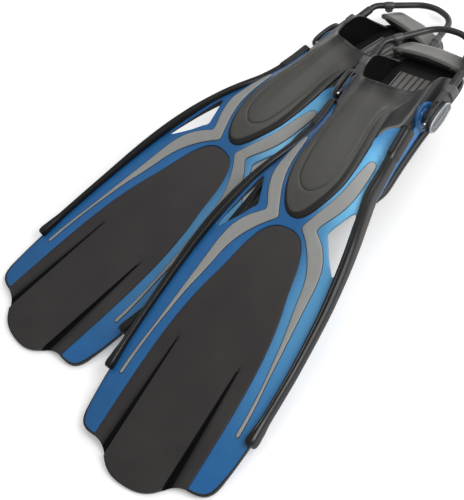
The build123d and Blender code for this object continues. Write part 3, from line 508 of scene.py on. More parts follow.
# ---- materials -------------------------------------------------------------------
def material(name, base, rough, spread=0.04, scale=60.0, bump=0.05, bump_scale=900.0, metallic=0.0,
             coat=0.0, coat_rough=0.2, sheen=0.0, edge=0.25, tint=None, spec=0.5, streak=None, painted_sheen_rgb=None):
    """Moulded finish: slow colour drift, fine grain, lighter colour on sharp edges, uneven gloss, plus painted sheen
    and painted shade read from per-point attributes.
    """
    m = bpy.data.materials.new(name)
    m.use_nodes = True
    nt = m.node_tree
    N, L = nt.nodes, nt.links
    b = N["Principled BSDF"]
    b.inputs["Metallic"].default_value = metallic
    b.inputs["Specular IOR Level"].default_value = spec
    b.inputs["Coat Weight"].default_value = coat
    b.inputs["Coat Roughness"].default_value = coat_rough
    b.inputs["Sheen Weight"].default_value = sheen
    tc = N.new("ShaderNodeTexCoord")
    big = N.new("ShaderNodeTexNoise")
    big.inputs["Scale"].default_value = scale
    big.inputs["Detail"].default_value = 3.0
    big.inputs["Roughness"].default_value = 0.6
    L.new(tc.outputs["Object"], big.inputs["Vector"])
    ramp = N.new("ShaderNodeValToRGB")
    dark = [max(0.0, c * (1 - spread * 1.6)) for c in base]
    lite = [min(1.0, c * (1 + spread * 1.6) + 0.002) for c in (tint or base)]
    ramp.color_ramp.elements[0].position = 0.3
    ramp.color_ramp.elements[0].color = (*dark, 1)
    ramp.color_ramp.elements[1].position = 0.7
    ramp.color_ramp.elements[1].color = (*lite, 1)
    L.new(big.outputs["Fac"], ramp.inputs["Fac"])
    geo = N.new("ShaderNodeNewGeometry")
    er = N.new("ShaderNodeMapRange")
    er.inputs["From Min"].default_value = 0.54
    er.inputs["From Max"].default_value = 0.66
    er.inputs["To Min"].default_value = 0.0
    er.inputs["To Max"].default_value = edge
    L.new(geo.outputs["Pointiness"], er.inputs["Value"])
    mix = N.new("ShaderNodeMix")
    mix.data_type = "RGBA"
    L.new(er.outputs["Result"], mix.inputs["Factor"])
    L.new(ramp.outputs["Color"], mix.inputs["A"])
    mix.inputs["B"].default_value = (*[min(1.0, c * 1.9 + 0.03) for c in base], 1)
    at = N.new("ShaderNodeAttribute")
    at.attribute_name = "painted_shade_and_tone"
    shade_in = mix
    # Painted sheen: a per-point attribute pushes the colour toward a pale tint that stands for a reflection of the
    # lights.
    if painted_sheen_rgb:
        ap = N.new("ShaderNodeAttribute")
        ap.attribute_name = "painted_sheen"
        painted_sheen_mix = N.new("ShaderNodeMix")
        painted_sheen_mix.data_type = "RGBA"
        L.new(ap.outputs["Fac"], painted_sheen_mix.inputs["Factor"])
        L.new(mix.outputs["Result"], painted_sheen_mix.inputs["A"])
        painted_sheen_mix.inputs["B"].default_value = (*painted_sheen_rgb, 1)
        shade_in = painted_sheen_mix
    # Painted shade: a per-point attribute pulls the colour toward a tenth of the base; a few pieces use it for their
    # own darker tone.
    painted_shade_mix = N.new("ShaderNodeMix")
    painted_shade_mix.data_type = "RGBA"
    L.new(at.outputs["Fac"], painted_shade_mix.inputs["Factor"])
    L.new(shade_in.outputs["Result"], painted_shade_mix.inputs["A"])
    painted_shade_mix.inputs["B"].default_value = (*[c * 0.10 + 0.0008 for c in base], 1)
    L.new(painted_shade_mix.outputs["Result"], b.inputs["Base Color"])
    fine = N.new("ShaderNodeTexNoise")
    fine.inputs["Scale"].default_value = bump_scale
    fine.inputs["Detail"].default_value = 2.0
    if streak:
        mp = N.new("ShaderNodeMapping")
        mp.inputs["Scale"].default_value = streak
        L.new(tc.outputs["Object"], mp.inputs["Vector"])
        L.new(mp.outputs["Vector"], fine.inputs["Vector"])
    else:
        L.new(tc.outputs["Object"], fine.inputs["Vector"])
    rr = N.new("ShaderNodeMapRange")
    rr.inputs["To Min"].default_value = max(0.02, rough - 0.06)
    rr.inputs["To Max"].default_value = min(1.0, rough + 0.07)
    med = N.new("ShaderNodeTexNoise")
    med.inputs["Scale"].default_value = scale * 4
    med.inputs["Detail"].default_value = 4.0
    L.new(tc.outputs["Object"], med.inputs["Vector"])
    L.new(med.outputs["Fac"], rr.inputs["Value"])
    L.new(rr.outputs["Result"], b.inputs["Roughness"])
    bp = N.new("ShaderNodeBump")
    bp.inputs["Strength"].default_value = bump
    bp.inputs["Distance"].default_value = 0.0006
    L.new(fine.outputs["Fac"], bp.inputs["Height"])
    L.new(bp.outputs["Normal"], b.inputs["Normal"])
    return m


def srgb(r, g, b):
    f = lambda c: (c / 255 / 12.92) if c / 255 <= 0.04045 else ((c / 255 + 0.055) / 1.055) ** 2.4
    return (f(r), f(g), f(b))


MAT = {
    # blue_plastic's pale azure is the painted sheen colour.
    "blue_plastic": material("blue_plastic", srgb(26, 93, 149), 0.32, 0.05, 14, 0.03, 1500, edge=0.10, spec=0.42,
                             painted_sheen_rgb=srgb(112, 186, 226)),
    "black_elastomer": material("black_elastomer", srgb(47, 43, 43), 0.46, 0.10, 11, 0.10, 1400, edge=0.25, spec=0.34),
    "grey_elastomer": material("grey_elastomer", srgb(142, 143, 141), 0.62, 0.03, 30, 0.12, 1600, edge=0.08, spec=0.3),
    "rail_rubber": material("rail_rubber", srgb(18, 17, 18), 0.30, 0.06, 10, 0.008, 900, edge=0.04, spec=0.34),
    "pocket_rubber": material("pocket_rubber", srgb(29, 27, 27), 0.36, 0.08, 14, 0.10, 1300, edge=0.2, spec=0.45),
    "instep_rubber": material("instep_rubber", srgb(67, 66, 62), 0.43, 0.06, 14, 0.14, 1500, edge=0.12, spec=0.4),
    "rim_rubber": material("rim_rubber", srgb(26, 25, 25), 0.33, 0.06, 24, 0.08, 1400, edge=0.2, spec=0.5),
    "footbed_rubber": material("footbed_rubber", srgb(104, 102, 100), 0.6, 0.06, 30, 0.15, 1200, edge=0.15),
    "sole_rubber": material("sole_rubber", srgb(34, 33, 34), 0.62, 0.08, 30, 0.2, 1000, edge=0.25),
    "stud_plastic": material("stud_plastic", srgb(30, 30, 32), 0.35, 0.04, 60, 0.05, 1500),
    "buckle_plastic": material("buckle_plastic", srgb(38, 37, 38), 0.36, 0.06, 60, 0.08, 1500, edge=0.35),
    "pin_steel": material("pin_steel", srgb(190, 190, 190), 0.25, 0.03, 80, 0.05, 2500, metallic=1.0, edge=0.1),
    "clip_plastic": material("clip_plastic", srgb(78, 77, 76), 0.40, 0.05, 60, 0.08, 1500, edge=0.3),
    "sleeve_rubber": material("sleeve_rubber", srgb(30, 29, 29), 0.42, 0.06, 50, 0.08, 1500),
    "cord_rubber": material("cord_rubber", srgb(30, 29, 29), 0.38, 0.06, 60, 0.12, 1100, edge=0.1),
    # strap_rubber's light grey is the painted highlight of the heel pad's band; the rubber itself is black.
    "strap_rubber": material("strap_rubber", srgb(118, 117, 114), 0.38, 0.06, 22, 0.08, 1300, edge=0.2),
    "strap_dark": material("strap_dark", srgb(26, 25, 25), 0.42, 0.06, 22, 0.08, 1300, edge=0.2),
    "cover_plastic": material("cover_plastic", srgb(96, 99, 103), 0.36, 0.05, 60, 0.10, 2200, metallic=0.3, edge=0.35),
    "cover_rim": material("cover_rim", srgb(150, 153, 158), 0.30, 0.04, 60, 0.06, 2200, metallic=0.5, edge=0.2),
    # inner_rubber: near-black copy of the rubber, standing for painted shade inside the pocket and in the blade's
    # grooves.
    "inner_rubber": material("inner_rubber", srgb(10, 9, 9), 0.7, 0.08, 30, 0.15, 900, edge=0.05, spec=0.1),
    "trim_black": material("trim_black", srgb(18, 18, 20), 0.45, 0.05, 60, 0.05, 1500),
}

SLOT_OF = {}
for sp in frame["record"].get("subparts", []):
    SLOT_OF[sp["node"]] = sp["material_slot"]
for n, o in frame["nodes"].items():
    mat = MAT[SLOT_OF[n]]
    if len(o.material_slots) == 0:
        o.data.materials.append(mat)
    for ms in o.material_slots:
        ms.material = mat

# ---- placing pieces ---------------------------------------------------------------
def mirror_of(ob, name):
    me = ob.data.copy()
    n = len(me.vertices)
    co = np.empty(n * 3)
    me.vertices.foreach_get("co", co)
    co = co.reshape(-1, 3)
    co[:, 0] *= -1
    me.vertices.foreach_set("co", co.ravel())
    me.flip_normals()
    me.update()
    o = bpy.data.objects.new(name, me)
    bpy.context.scene.collection.objects.link(o)
    return o


def put(ob, body, slot, nodes=(), mat=None):
    """Sets one piece into both fins and removes the template."""
    if mat or not ob.data.materials:
        ob.data.materials.clear()
        ob.data.materials.append(MAT[mat or slot])
    base = ob.name
    for side, M in FINS.items():
        o = ob.copy()
        o.name = side + "_" + base
        bpy.context.scene.collection.objects.link(o)
        o.matrix_world = M
        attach(o, side + "_" + body)
        if nodes:
            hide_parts(*[side + "_" + n for n in nodes])
    bpy.data.objects.remove(ob)


def put_pair(ob, body, slot, nodes=(), mat=None):
    """The same for a piece at +x and its mirror image."""
    base = ob.name
    ob.name = base + "_l"
    if mat or not ob.data.materials:
        ob.data.materials.clear()
        ob.data.materials.append(MAT[mat or slot])
    m = mirror_of(ob, base + "_r")
    b = (lambda k: body + "_" + k) if body == "lever" else (lambda k: body)
    put(m, b("r"), slot, [n + "_r" for n in nodes])
    put(ob, b("l"), slot, [n + "_l" for n in nodes])


def step01(t):
    t = np.clip(t, 0, 1)
    return t * t * (3 - 2 * t)


# ---- blade frame ------------------------------------------------------------------
tip = smooth(mirrored(TIP), 2.4)
tip_r = smooth(TIP, 1.5)
panel_r = smooth(mirrored(PANEL), 2.4)
panel_half = smooth(mirrored(PANEL), 1.5)
panel_half = panel_half[len(panel_half) // 2:]
toe_full = smooth(mirrored(TOE), 1.5)
toe_half = toe_full[np.argmin(toe_full[:, 1] + np.abs(toe_full[:, 0]) * 0.01):]
toe_half = toe_half[toe_half[:, 0] >= -0.01]
side_r = smooth(SIDE, 2.4)
REAR_ARC = [(36.4, 136), (38.4, 144.5), (40.8, 154), (44.6, 162.5), (50, 169), (55.5, 172.6), (60.4, 174)]
arc = smooth(REAR_ARC, 1.5)
lobe = tip_r[tip_r[:, 0] > 79.5]
pan_up = panel_half[panel_half[:, 1] > -344.0]
toe_part = toe_half[toe_half[:, 1] < 134]
half_frame = np.vstack([pan_up, [(79.4, -344.3)], lobe, side_r, arc[::-1][1:], toe_part[::-1]])
# half_frame: panel arch centre -> tip -> side -> rear arc -> toe outline centre
other = half_frame[::-1].copy()
other[:, 0] *= -1
outline = np.vstack([half_frame, other])
keep = [0]
for i in range(1, len(outline)):
    if np.linalg.norm(outline[i] - outline[keep[-1]]) > 0.3:
        keep.append(i)
outline = outline[keep]
# the loop runs as two halves meeting on x = 0
win_r = smooth(WINDOW, 1.6, True)
win_l = win_r * (-1, 1)
STR_SIDE = smooth([STR_LO_IN[0]] + STR_LO_IN[1:], 2.0)


def stripe_outline():
    lo_in = smooth(STR_LO_IN[1:], 2.0)
    lo_out = smooth([STR_LO_OUT[1]] + STR_LO_OUT[2:], 2.0)[::-1]
    up_out = smooth([STR_LO_OUT[1]] + STR_UP_OUT, 1.5)[1:]
    up_in = smooth(STR_UP_IN[1:], 2.0)[::-1]
    end = smooth([STR_UP_OUT[-1], (57.4, 110.6), STR_TOP, (51.0, 110.8), STR_UP_IN[-1]], 1.0)[1:-1]
    tail = smooth([lo_in[-1], ((lo_in[-1] + lo_out[0]) / 2 + np.array([0, -1.2])), lo_out[0]], 0.8)[1:-1]
    beak = smooth([STR_UP_IN[1], STR_UP_IN[0], STR_LO_IN[1]], 1.5)[1:-1]
    return np.vstack([lo_in, tail, lo_out, up_out, end, up_in, beak])


stripe = stripe_outline()
if area2(stripe) < 0:
    stripe = stripe[::-1]


def frame_top(x, y):
    z = surf_z(x, y)
    return z


def frame_bottom(x, y):
    return surf_z(x, y) - 3.16


def poly_clean(P, least=0.5):
    out = [P[0]]
    for p in P[1:]:
        if np.linalg.norm(p - out[-1]) > least:
            out.append(p)
    if np.linalg.norm(out[0] - out[-1]) < least:
        out.pop()
    return np.array(out)


ob = plate("blade_frame", poly_clean(outline), [win_r, win_l], frame_top, frame_bottom, r=1.0, rb=0.8, step=2.4, grid=6.0)


def frame_painted_sheen(x, y, z, nz):
    """Painted sheen: the blue is painted paler towards the pocket, more on one side than the other, standing for the
    lights' reflection.
    """
    v = 0.52 * step01((y + 330) / 330.0) * step01((x - 20) / 60.0)
    v = v + 0.45 * step01((y + 30) / 90.0) * step01((x - 8) / 30.0)
    return v * (1 - 0.7 * step01((y - 118) / 36.0))


def frame_painted_shade(x, y, z, nz):
    """Painted shade in the window walls, along the rails beside the pocket and over the blade's left side."""
    v = 0.55 * step01((0.72 - nz) / 0.5) * (np.abs(x) < 110)
    rim = vinterp(RAIL_IN, y) - np.abs(x)
    near = (1 - step01((rim - 1.0) / 9.0)) * step01((y - 30) / 60.0) * 0.75
    left = 0.35 * step01((-x - 20) / 40.0) * step01((y + 20) / 100.0)
    return np.maximum(np.maximum(v, near), left)


paint_light_and_tone(ob, frame_painted_sheen, "painted_sheen")
paint_light_and_tone(ob, frame_painted_shade)
put(ob, "fin", "blue_plastic", ["blade_frame"])

# ---- stripes and their dark bead: black moulding at the seam, partly painted shade ---
ob = plate("stripe", offset(resample(stripe, 1.7), -0.45), [], lambda x, y: surf_z(x, y) + 1.15, lambda x, y: surf_z(x, y) - 0.5,
           r=0.9, rb=0.2, step=1.7, grid=5.0)
put_pair(ob, "fin", "grey_elastomer", ["stripe"])
# The dark bead round each stripe is partly the black base at the seam and partly painted shade in the seam.
ob = plate("stripe_bead", offset(resample(stripe, 1.7), -1.25), [], lambda x, y: surf_z(x, y) + 0.42,
           lambda x, y: surf_z(x, y) - 0.5, r=0.35, rb=0.1, step=1.7, grid=7.0)
put_pair(ob, "fin", "black_elastomer", mat="trim_black")

# ---- dark rim round the tip lobes ------------------------------------------------------
rim_out = np.vstack([[(79.6, -344.4)], lobe[lobe[:, 1] < -262]])
tt = np.gradient(rim_out, axis=0)
tt /= np.linalg.norm(tt, axis=1)[:, None]
wid = np.where(rim_out[:, 1] < -325, 2.6, np.interp(rim_out[:, 1], [-325, -300], [2.6, 1.1]))
rim_in = rim_out + np.stack([-tt[:, 1], tt[:, 0]], 1) * wid[:, None]
rim_o2 = rim_out - np.stack([-tt[:, 1], tt[:, 0]], 1) * 0.35
ob = plate("tip_rim", np.vstack([rim_o2, rim_in[::-1]]), [], lambda x, y: surf_z(x, y) + 0.35,
           lambda x, y: surf_z(x, y) - 3.3, r=0.35, rb=0.3, step=1.5, grid=6.0)
put_pair(ob, "fin", "black_elastomer", mat="trim_black")

# ---- centre panel -------------------------------------------------------------------------
pan = np.vstack([pan_up, [(79.2, -344.6)], tip_r[tip_r[:, 0] < 79.0][::-1]])
pan_other = pan[::-1].copy()
pan_other[:, 0] *= -1
panel_outline = poly_clean(np.vstack([pan, pan_other]), 0.6)


def groove(x, y):
    ax = np.abs(x)
    t = np.clip((-198.0 - y) / 178.0, 0, 1)
    deep = np.where(y < -198, 1.1 + 2.2 * t, 1.1 * step01((-182 - y) / 16.0))
    wide = 4.4 + 19.0 * t
    f = np.where(ax < 50.6, 0, np.clip(1 - (ax - 50.6) / wide, 0, 1))
    wall = step01((ax - 49.6) / 1.0)
    return deep * np.where(ax < 50.7, wall * (ax > 49.6), f)


def panel_top(x, y):
    return surf_z(x, y) * 0 + 0.9 - groove(x, y) - 0.25 * np.clip((np.abs(x) - 60) / 20, 0, 1)


ys_g = np.arange(-378, -168, 4.0)
gl = []
for sg in (1, -1):
    for dx in (49.6, 50.15, 50.7):
        gl.append(np.stack([np.full(len(ys_g), sg * dx), ys_g], 1))
    w_ = 4.4 + 19.0 * np.clip((-198 - ys_g) / 178, 0, 1)
    for q in (0.12, 0.29, 0.45, 0.7, 1.0):
        gl.append(np.stack([sg * (50.6 + q * w_), ys_g], 1))
ob = plate("centre_panel", panel_outline, [], panel_top, lambda x, y: surf_z(x, y) * 0 - 3.2, r=0.9, rb=0.8, step=2.4,
           grid=6.0, lines=gl)


# Painted shade in the grooves beside the raised middle of the panel, darkest at the groove wall.
def groove_painted_shade(x, y, z, nz):
    t = np.clip((-198.0 - y) / 178.0, 0, 1)
    w = 4.4 + 19.0 * t
    q = (np.abs(x) - 50.1) / w
    return np.where((q > -0.02) & (q < 1) & (y < -190), 1 - step01((q - 0.38) / 0.6), 0)


paint_light_and_tone(ob, groove_painted_shade)
ob.data.materials.clear()
ob.data.materials.append(MAT["black_elastomer"])
ob.data.materials.append(MAT["inner_rubber"])
# The groove floor next to the wall takes the near-black inner rubber: more painted shade in the groove.
for f in ob.data.polygons:
    c = f.center / KM
    if f.normal.z > 0.2 and c.y < -193 and abs(c.x) > 49.6:
        q = (abs(c.x) - 50.6) / (4.4 + 19.0 * min(1.0, max(0.0, (-198.0 - c.y) / 178.0)))
        if q < 0.45:
            f.material_index = 1
put(ob, "fin", "black_elastomer", ["centre_panel"])


# ---- rails ---------------------------------------------------------------------------------
def even_angles(n, e, w, h):
    """Angles that space points evenly along a rounded-box ring."""
    a = np.linspace(0, 2 * math.pi, 4001)
    c, s_ = np.cos(a), np.sin(a)
    P = np.stack([w * np.sign(c) * np.abs(c) ** e, h * np.sign(s_) * np.abs(s_) ** e], 1)
    L = np.concatenate([[0], np.cumsum(np.linalg.norm(np.diff(P, axis=0), axis=1))])
    return np.interp(np.linspace(0, L[-1], n + 1)[:-1], L, a)


RING = even_angles(104, 0.5, 4.2, 5.0)


def rail_ring(y, xi, xo, zb, zt, crease=1.0):
    a = RING
    n = len(a)
    c, s_ = np.cos(a), np.sin(a)
    e = 0.5
    u = 0.5 + 0.5 * np.sign(c) * np.abs(c) ** e
    v = 0.5 + 0.5 * np.sign(s_) * np.abs(s_) ** e
    w, h = xo - xi, zt - zb
    z = zb + v * h
    top = np.clip((v - 0.5) * 2, 0, 1)
    z = z - top * 0.16 * h * np.clip((u - 0.5) / 0.5, 0, 1) ** 2
    z = z - top ** 4 * crease * (0.75 * np.exp(-((u - 0.40) / 0.055) ** 2) + 0.35 * np.exp(-((u - 0.80) / 0.05) ** 2))
    return np.stack([xi + u * w, np.full(n, float(y)), z], 1)


def rail_sections():
    S = []
    ys = list(np.arange(-250, 133, 6.0)) + [131.5, 134.0, 135.2, 140, 150, 160, 170, 174.5, 176.2, 177]
    for y in [-264.4, -264.2, -263.2, -261, -257, -252] + ys:
        xo, xi = interp(RAIL_OUT, y), interp(RAIL_IN, y)
        zt, zb = interp(RAIL_TOP, y), interp(RAIL_BOT, y)
        cx, cz = (xo + xi) / 2, (zt + zb) / 2
        k = 1.0
        g = 1.0
        if y < -250:
            k = {-264.4: 0.55, -264.2: 0.88, -263.2: 1.18, -261: 1.38, -257: 1.48, -252: 1.42}[y]
            g = 0.6
        elif y < -225:
            k = 1.0 + 0.36 * (1 - float(step01((y + 250) / 25.0)))
        box = float(step01((y - 131.5) / 3.5))
        lift = 2.2 * float(step01((y - 20) / 60.0))
        zt = zt + lift
        cz = (zt + zb) / 2
        xi = xi - 0.8 * float(step01((y - 30) / 60.0))
        # the flank stands slightly proud of the blade's edge
        out = 1.3 * (1 - float(step01((y - 10) / 60.0)))
        xi, xo = xi - 1.0 + 1.1 * out, xo + 0.4 + out
        zt = zt + 1.9
        cz = (zt + zb) / 2
        cx = (xo + xi) / 2
        wx, wz = (xo - xi) / 2 * k, (zt - zb) / 2 * (1 + (k - 1) * 0.6)
        if y > 174.5:
            sh = {176.2: 0.9, 177: 0.6}.get(y, 1.0)
            wx, wz = wx * sh, wz * sh
        ring = rail_ring(y, cx - wx - 0.5 * box, cx + wx + 0.9 * box, cz - wz - 1.0 * box, cz + wz + 1.1 * box,
                         crease=g * (1 - 0.75 * box))
        S.append(ring)
    return np.array(S) * KM


ob = loft("rail", rail_sections())
shade(ob, 48)
put_pair(ob, "fin", "rail_rubber", ["rail"])


def box_ring(y, pts, n_round=4, rad=1.2):
    """Ring through a convex polygon's rounded corners."""
    P = np.array(pts, float)
    out = []
    m = len(P)
    for i in range(m):
        a, b, c = P[(i - 1) % m], P[i], P[(i + 1) % m]
        d1, d2 = a - b, c - b
        L1, L2 = np.linalg.norm(d1), np.linalg.norm(d2)
        r_ = min(rad, 0.45 * L1, 0.45 * L2)
        p, q = b + d1 / L1 * r_, b + d2 / L2 * r_
        for k in range(n_round + 1):
            t = k / n_round
            out.append((1 - t) ** 2 * p + 2 * t * (1 - t) * b + t * t * q)
    out = np.array(out)
    return np.stack([out[:, 0], np.full(len(out), float(y)), out[:, 1]], 1)


ARM_OUT = [(72, 79.0), (82, 76.0), (92, 73.6), (104, 70.7), (131, 65.9), (150, 63.6), (164, 62.0), (176, 60.6), (184, 59.8), (200, 59.4)]
LOW_OUT = [(70, 77.5), (82, 75.6), (94, 73.6), (108, 71.4), (124, 69.0), (142, 66.6), (160, 64.6), (180, 62.8),
           (200, 61.4), (214, 60.6)]


def low_z(y):
    """Bottom and top of the lower rail: it climbs to meet the upper rail at its front end."""
    f = min(1.0, (y - 60) / 34.0)
    bz = sole_z(y) - 0.5
    tz = bz + 13.2 * f + 1.0 - max(0.0, y - 186) * 0.16
    up = max(0.0, interp(RAIL_BOT, y) + 1.2 - tz) * (1 - float(step01((y - 70) / 34.0)))
    return bz + 0.8 * up, tz + up


S = []
for y in list(np.linspace(74, 90, 6)) + list(np.linspace(94, 206, 20)):
    top = interp(RAIL_BOT, y) - 0.4 - (1.2 if y > 176 else 0)
    bot = min(low_z(y)[1] - 1.2, top - 1.5)
    xo = interp(ARM_OUT, y)
    xi = interp(POCKET_SIDE, y) + 0.6
    k = 1.0 if y < 203 else 0.6
    mid = (top + bot) / 2
    top, bot = mid + (top - mid) * k, mid + (bot - mid) * k
    S.append(box_ring(y, [(xi, bot), (xo - 0.6, bot), (xo, (top + bot) / 2), (xo, top), (xi, top)]))
ob = loft("side_arm", np.array(S) * KM)
shade(ob, 40)
put_pair(ob, "fin", "blue_plastic", ["side_arm"])

S = []
for y in [69.5, 70.5, 73, 78] + list(np.linspace(84, 206, 22)) + [210, 213, 214.6]:
    bz, tz = low_z(y)
    xo = interp(LOW_OUT, y)
    xi = interp(POCKET_SIDE, y) + 0.8
    k = {69.5: 0.5, 70.5: 0.85, 213: 0.92, 214.6: 0.6}.get(y, 1.0)
    cz = (bz + tz) / 2
    b2, t2 = cz + (bz - cz) * k, cz + (tz - cz) * k
    xo = xi + (xo - xi) * (0.7 + 0.3 * k)
    hh = t2 - b2
    S.append(box_ring(y, [(xi, b2), (xo - 2.2, b2), (xo - 0.5, b2 + 0.18 * hh), (xo, b2 + 0.42 * hh),
                          (xo - 1.0, b2 + 0.52 * hh), (xo - 0.6, b2 + 0.80 * hh), (xo - 1.9, t2), (xi, t2)], 3, 1.0))
ob = loft("lower_rail", np.array(S) * KM)
shade(ob, 40)
put_pair(ob, "fin", "rail_rubber", ["lower_rail"])

# ---- pocket shell ---------------------------------------------------------------------------------
pk = smooth(POCKET, 1.0)
pk_y = np.maximum.accumulate(pk[:, 1])
half_w = lambda y: np.interp(y, [p[0] for p in POCKET_SIDE], [p[1] for p in POCKET_SIDE])
_py = np.array([p[1] for p in POCKET])
_px = np.array([p[0] for p in POCKET])
_w = np.interp(np.arange(0, 300, 1.0), pk_y, pk[:, 0])
_w[286:] = 46


def width(y):
    return np.interp(y, np.arange(0, 300, 1.0), _w)


SIDE_EDGE = [(0.0, 286.5), (0.2, 279.5), (0.4, 273.5), (0.6, 268.5), (0.8, 263.5), (1.0, 256.0)]
inst_x = np.array([p[0] for p in INSTEP_END], float)


def edge_y_top(x):
    return vinterp(INSTEP_END[:-1] + [(57, 265)], np.abs(x))


def arc_y(x):
    return np.interp(np.abs(x), [p[0] for p in REAR_ARC], [p[1] for p in REAR_ARC])


def skin_dz(x, y):
    """Pocket skin relative to the blade's top surface."""
    f = step01((y - arc_y(x) + 1.0) / 3.0)
    under = np.clip((np.abs(x) - 30) / 6, 0, 1)
    lip = step01((y - 196) / 14.0)
    return -3.3 + 3.1 * np.maximum(f * under, lip) + 0.0 * x


def shell_grid(na=90, nw=12, ns=30):
    """Right half of the outer skin, columns from the bottom edge to the centre line."""
    cols = []
    for j in range(nw):
        cols.append(("w", j / nw))
    for j in range(ns + 1):
        cols.append(("t", (j / ns) ** 1.0))
    A = np.concatenate([np.linspace(0, 0.1, 12)[:-1] ** 1.0, np.linspace(0.1, 0.9, na - 24), np.linspace(0.9, 1.0, 14)[1:]])
    G = np.zeros((len(A), len(cols), 3))
    for jc, (kind, t) in enumerate(cols):
        if kind == "w":
            yE = interp(SIDE_EDGE, t)
            y = 6.0 + A * (yE - 6.0)
            w = width(y)
            zb = sole_z(y) + 4.2
            zs = surf_z(w - 0.0, y) + skin_dz(w, y) - 2.6 * step01((y - 150) / 40) - 0.5 + 1.6 * np.exp(-((y - 205) / 22.0) ** 2)
            zs = zs - 0.0
            x = w
            z = zb + (zs - zb) * t
            x = x + 0.9 * np.sin(math.pi * t) * step01((y - 40) / 30)
        else:
            xe = (1 - t) * 56.0
            for _ in range(6):
                yE = float(np.minimum(edge_y_top(xe), 256.0))
                xe = (1 - t) * float(width(yE))
            y = 6.0 + A * (yE - 6.0)
            w = width(y)
            x = (1 - t) * w
            rr = 1.0 + 3.2 * step01((y - 150) / 40)
            k = np.clip((x - (w - rr)) / rr, 0, 1)
            z = surf_z(x, y) + skin_dz(x, y) - rr * (1 - np.sqrt(np.clip(1 - k * k, 0, 1))) * 0.7
            z = z + 1.6 * np.exp(-((y - 205) / 22.0) ** 2) * step01((x - w + 12) / 10.0)
        G[:, jc, 0], G[:, jc, 1], G[:, jc, 2] = x, y, z
    return G


G = shell_grid()
# ease the corner between wall and instep
for _ in range(2):
    H = G.copy()
    H[:, 1:-1] = 0.25 * G[:, :-2] + 0.5 * G[:, 1:-1] + 0.25 * G[:, 2:]
    G[:, 6:30] = H[:, 6:30]
GL = G[:, ::-1][:, 1:].copy()
GL[..., 0] *= -1
full = np.concatenate([G, GL], 1)
na_, nb_ = full.shape[:2]
verts = full.reshape(-1, 3) * KM
faces = []
for i in range(na_ - 1):
    for j in range(nb_ - 1):
        a = i * nb_ + j
        faces.append((a, a + nb_, a + nb_ + 1, a + 1))
for j in range(nb_ // 2):
    k = nb_ - 1 - j
    if k - 1 > j + 1 or k - 1 == j + 1:
        faces.append((j, j + 1, k - 1, k) if k - 1 != j + 1 else (j, j + 1, k))
shell = new_object("foot_pocket", verts, faces)
tidy(shell, 2e-5)
shell.data.materials.append(MAT["pocket_rubber"])
# The inside skin of the pocket takes inner_rubber: painted shade.
shell.data.materials.append(MAT["inner_rubber"])
modify(shell, "SOLIDIFY", thickness=0.0038, offset=-1.0, use_even_offset=True, use_rim=True, thickness_clamp=0.6, material_offset=1)
modify(shell, "BEVEL", width=0.0013, segments=3, limit_method="ANGLE", angle_limit=math.radians(50))
apply_all(shell)
shade(shell, 60)
put(shell, "fin", "pocket_rubber", ["foot_pocket"])

hl = [(54.6, 262), (53.6, 270), (52.0, 276.5), (49.5, 282.5), (45.5, 287), (40, 289.6), (33, 290.6), (16, 291.0), (0, 291.0)]
hp = smooth(mirrored([(x, y) for x, y in hl[::-1]]), 1.6)
S = []
for i, (x, y) in enumerate(hp):
    a_ = hp[max(0, i - 1)]
    b_ = hp[min(len(hp) - 1, i + 1)]
    t_ = (b_ - a_) / np.linalg.norm(b_ - a_)
    n_ = np.array([t_[1], -t_[0]])
    h_ = 4.4 + 3.5 * float(step01((274 - y) / 14.0))
    ring_ = []
    for u, v in [(0, 0), (0.2, 2.0), (-0.1, h_ - 1.2), (-0.7, h_ - 0.3), (-1.8, h_), (-2.9, h_ - 0.3), (-3.5, h_ - 1.2), (-3.8, 2.0), (-3.8, 0)]:
        ring_.append((x + n_[0] * u, y + n_[1] * u, sole_z(y) + 4.0 + v))
    S.append(ring_)
ob = loft("heel_lip", np.array(S) * KM)
shade(ob, 50)
put(ob, "fin", "pocket_rubber")

# ---- toe pad -------------------------------------------------------------------------------------------
toe_r = [p for p in TOE if p[1] <= 183] + [(38.6, 193), (42.0, 202), (45.6, 211), (47.6, 218)]
pad_half = smooth(mirrored(toe_r), 1.5)
pad_half = pad_half[len(pad_half) // 2:]
rear = []
for x in np.arange(46.5, -0.1, -1.5):
    rear.append((x, float(edge_y_top(x)) - 4.2))
pad_half = np.vstack([pad_half, rear])
pl = pad_half[::-1].copy()
pl[:, 0] *= -1
pad_outline = poly_clean(np.vstack([pad_half, pl]), 0.6)
if area2(pad_outline) < 0:
    pad_outline = pad_outline[::-1]
LINE = [(0, 43.0), (6, 44.2), (12.6, 49), (19.9, 57.5), (23.3, 68.6), (26.3, 91.5), (28.2, 114), (28.0, 126), (26.8, 140),
        (25.6, 155), (25.4, 168), (27.6, 180), (31.0, 188)]
line_full = smooth(mirrored(LINE), 1.6)
pad_rim = dist_to([pad_outline], np.zeros(1), np.zeros(1))
front_loop = poly_clean(np.vstack([smooth(mirrored(toe_r), 1.5), [(0, 400)]]), 0.6)


def line_dist(x, y):
    d = np.full(np.shape(x), 1e9)
    P = np.stack([x, y], -1)
    for i in range(0, len(P), 3000):
        d[i:i + 3000] = np.linalg.norm(P[i:i + 3000, None] - line_full[None], axis=-1).min(1)
    return d


def rim_width(x, y):
    """Width of the pad's shoulder and of its dark rim: broad on its lower right, narrow on its left; the dark rim is
    partly the rim's own black rubber and partly painted shade.
    """
    w = 5.2 + 2.0 * np.tanh(np.asarray(x, float) / 14.0) + 0.8 * step01((60 - y) / 50.0)
    return w * (1 - 0.75 * step01((y - 150) / 46.0))


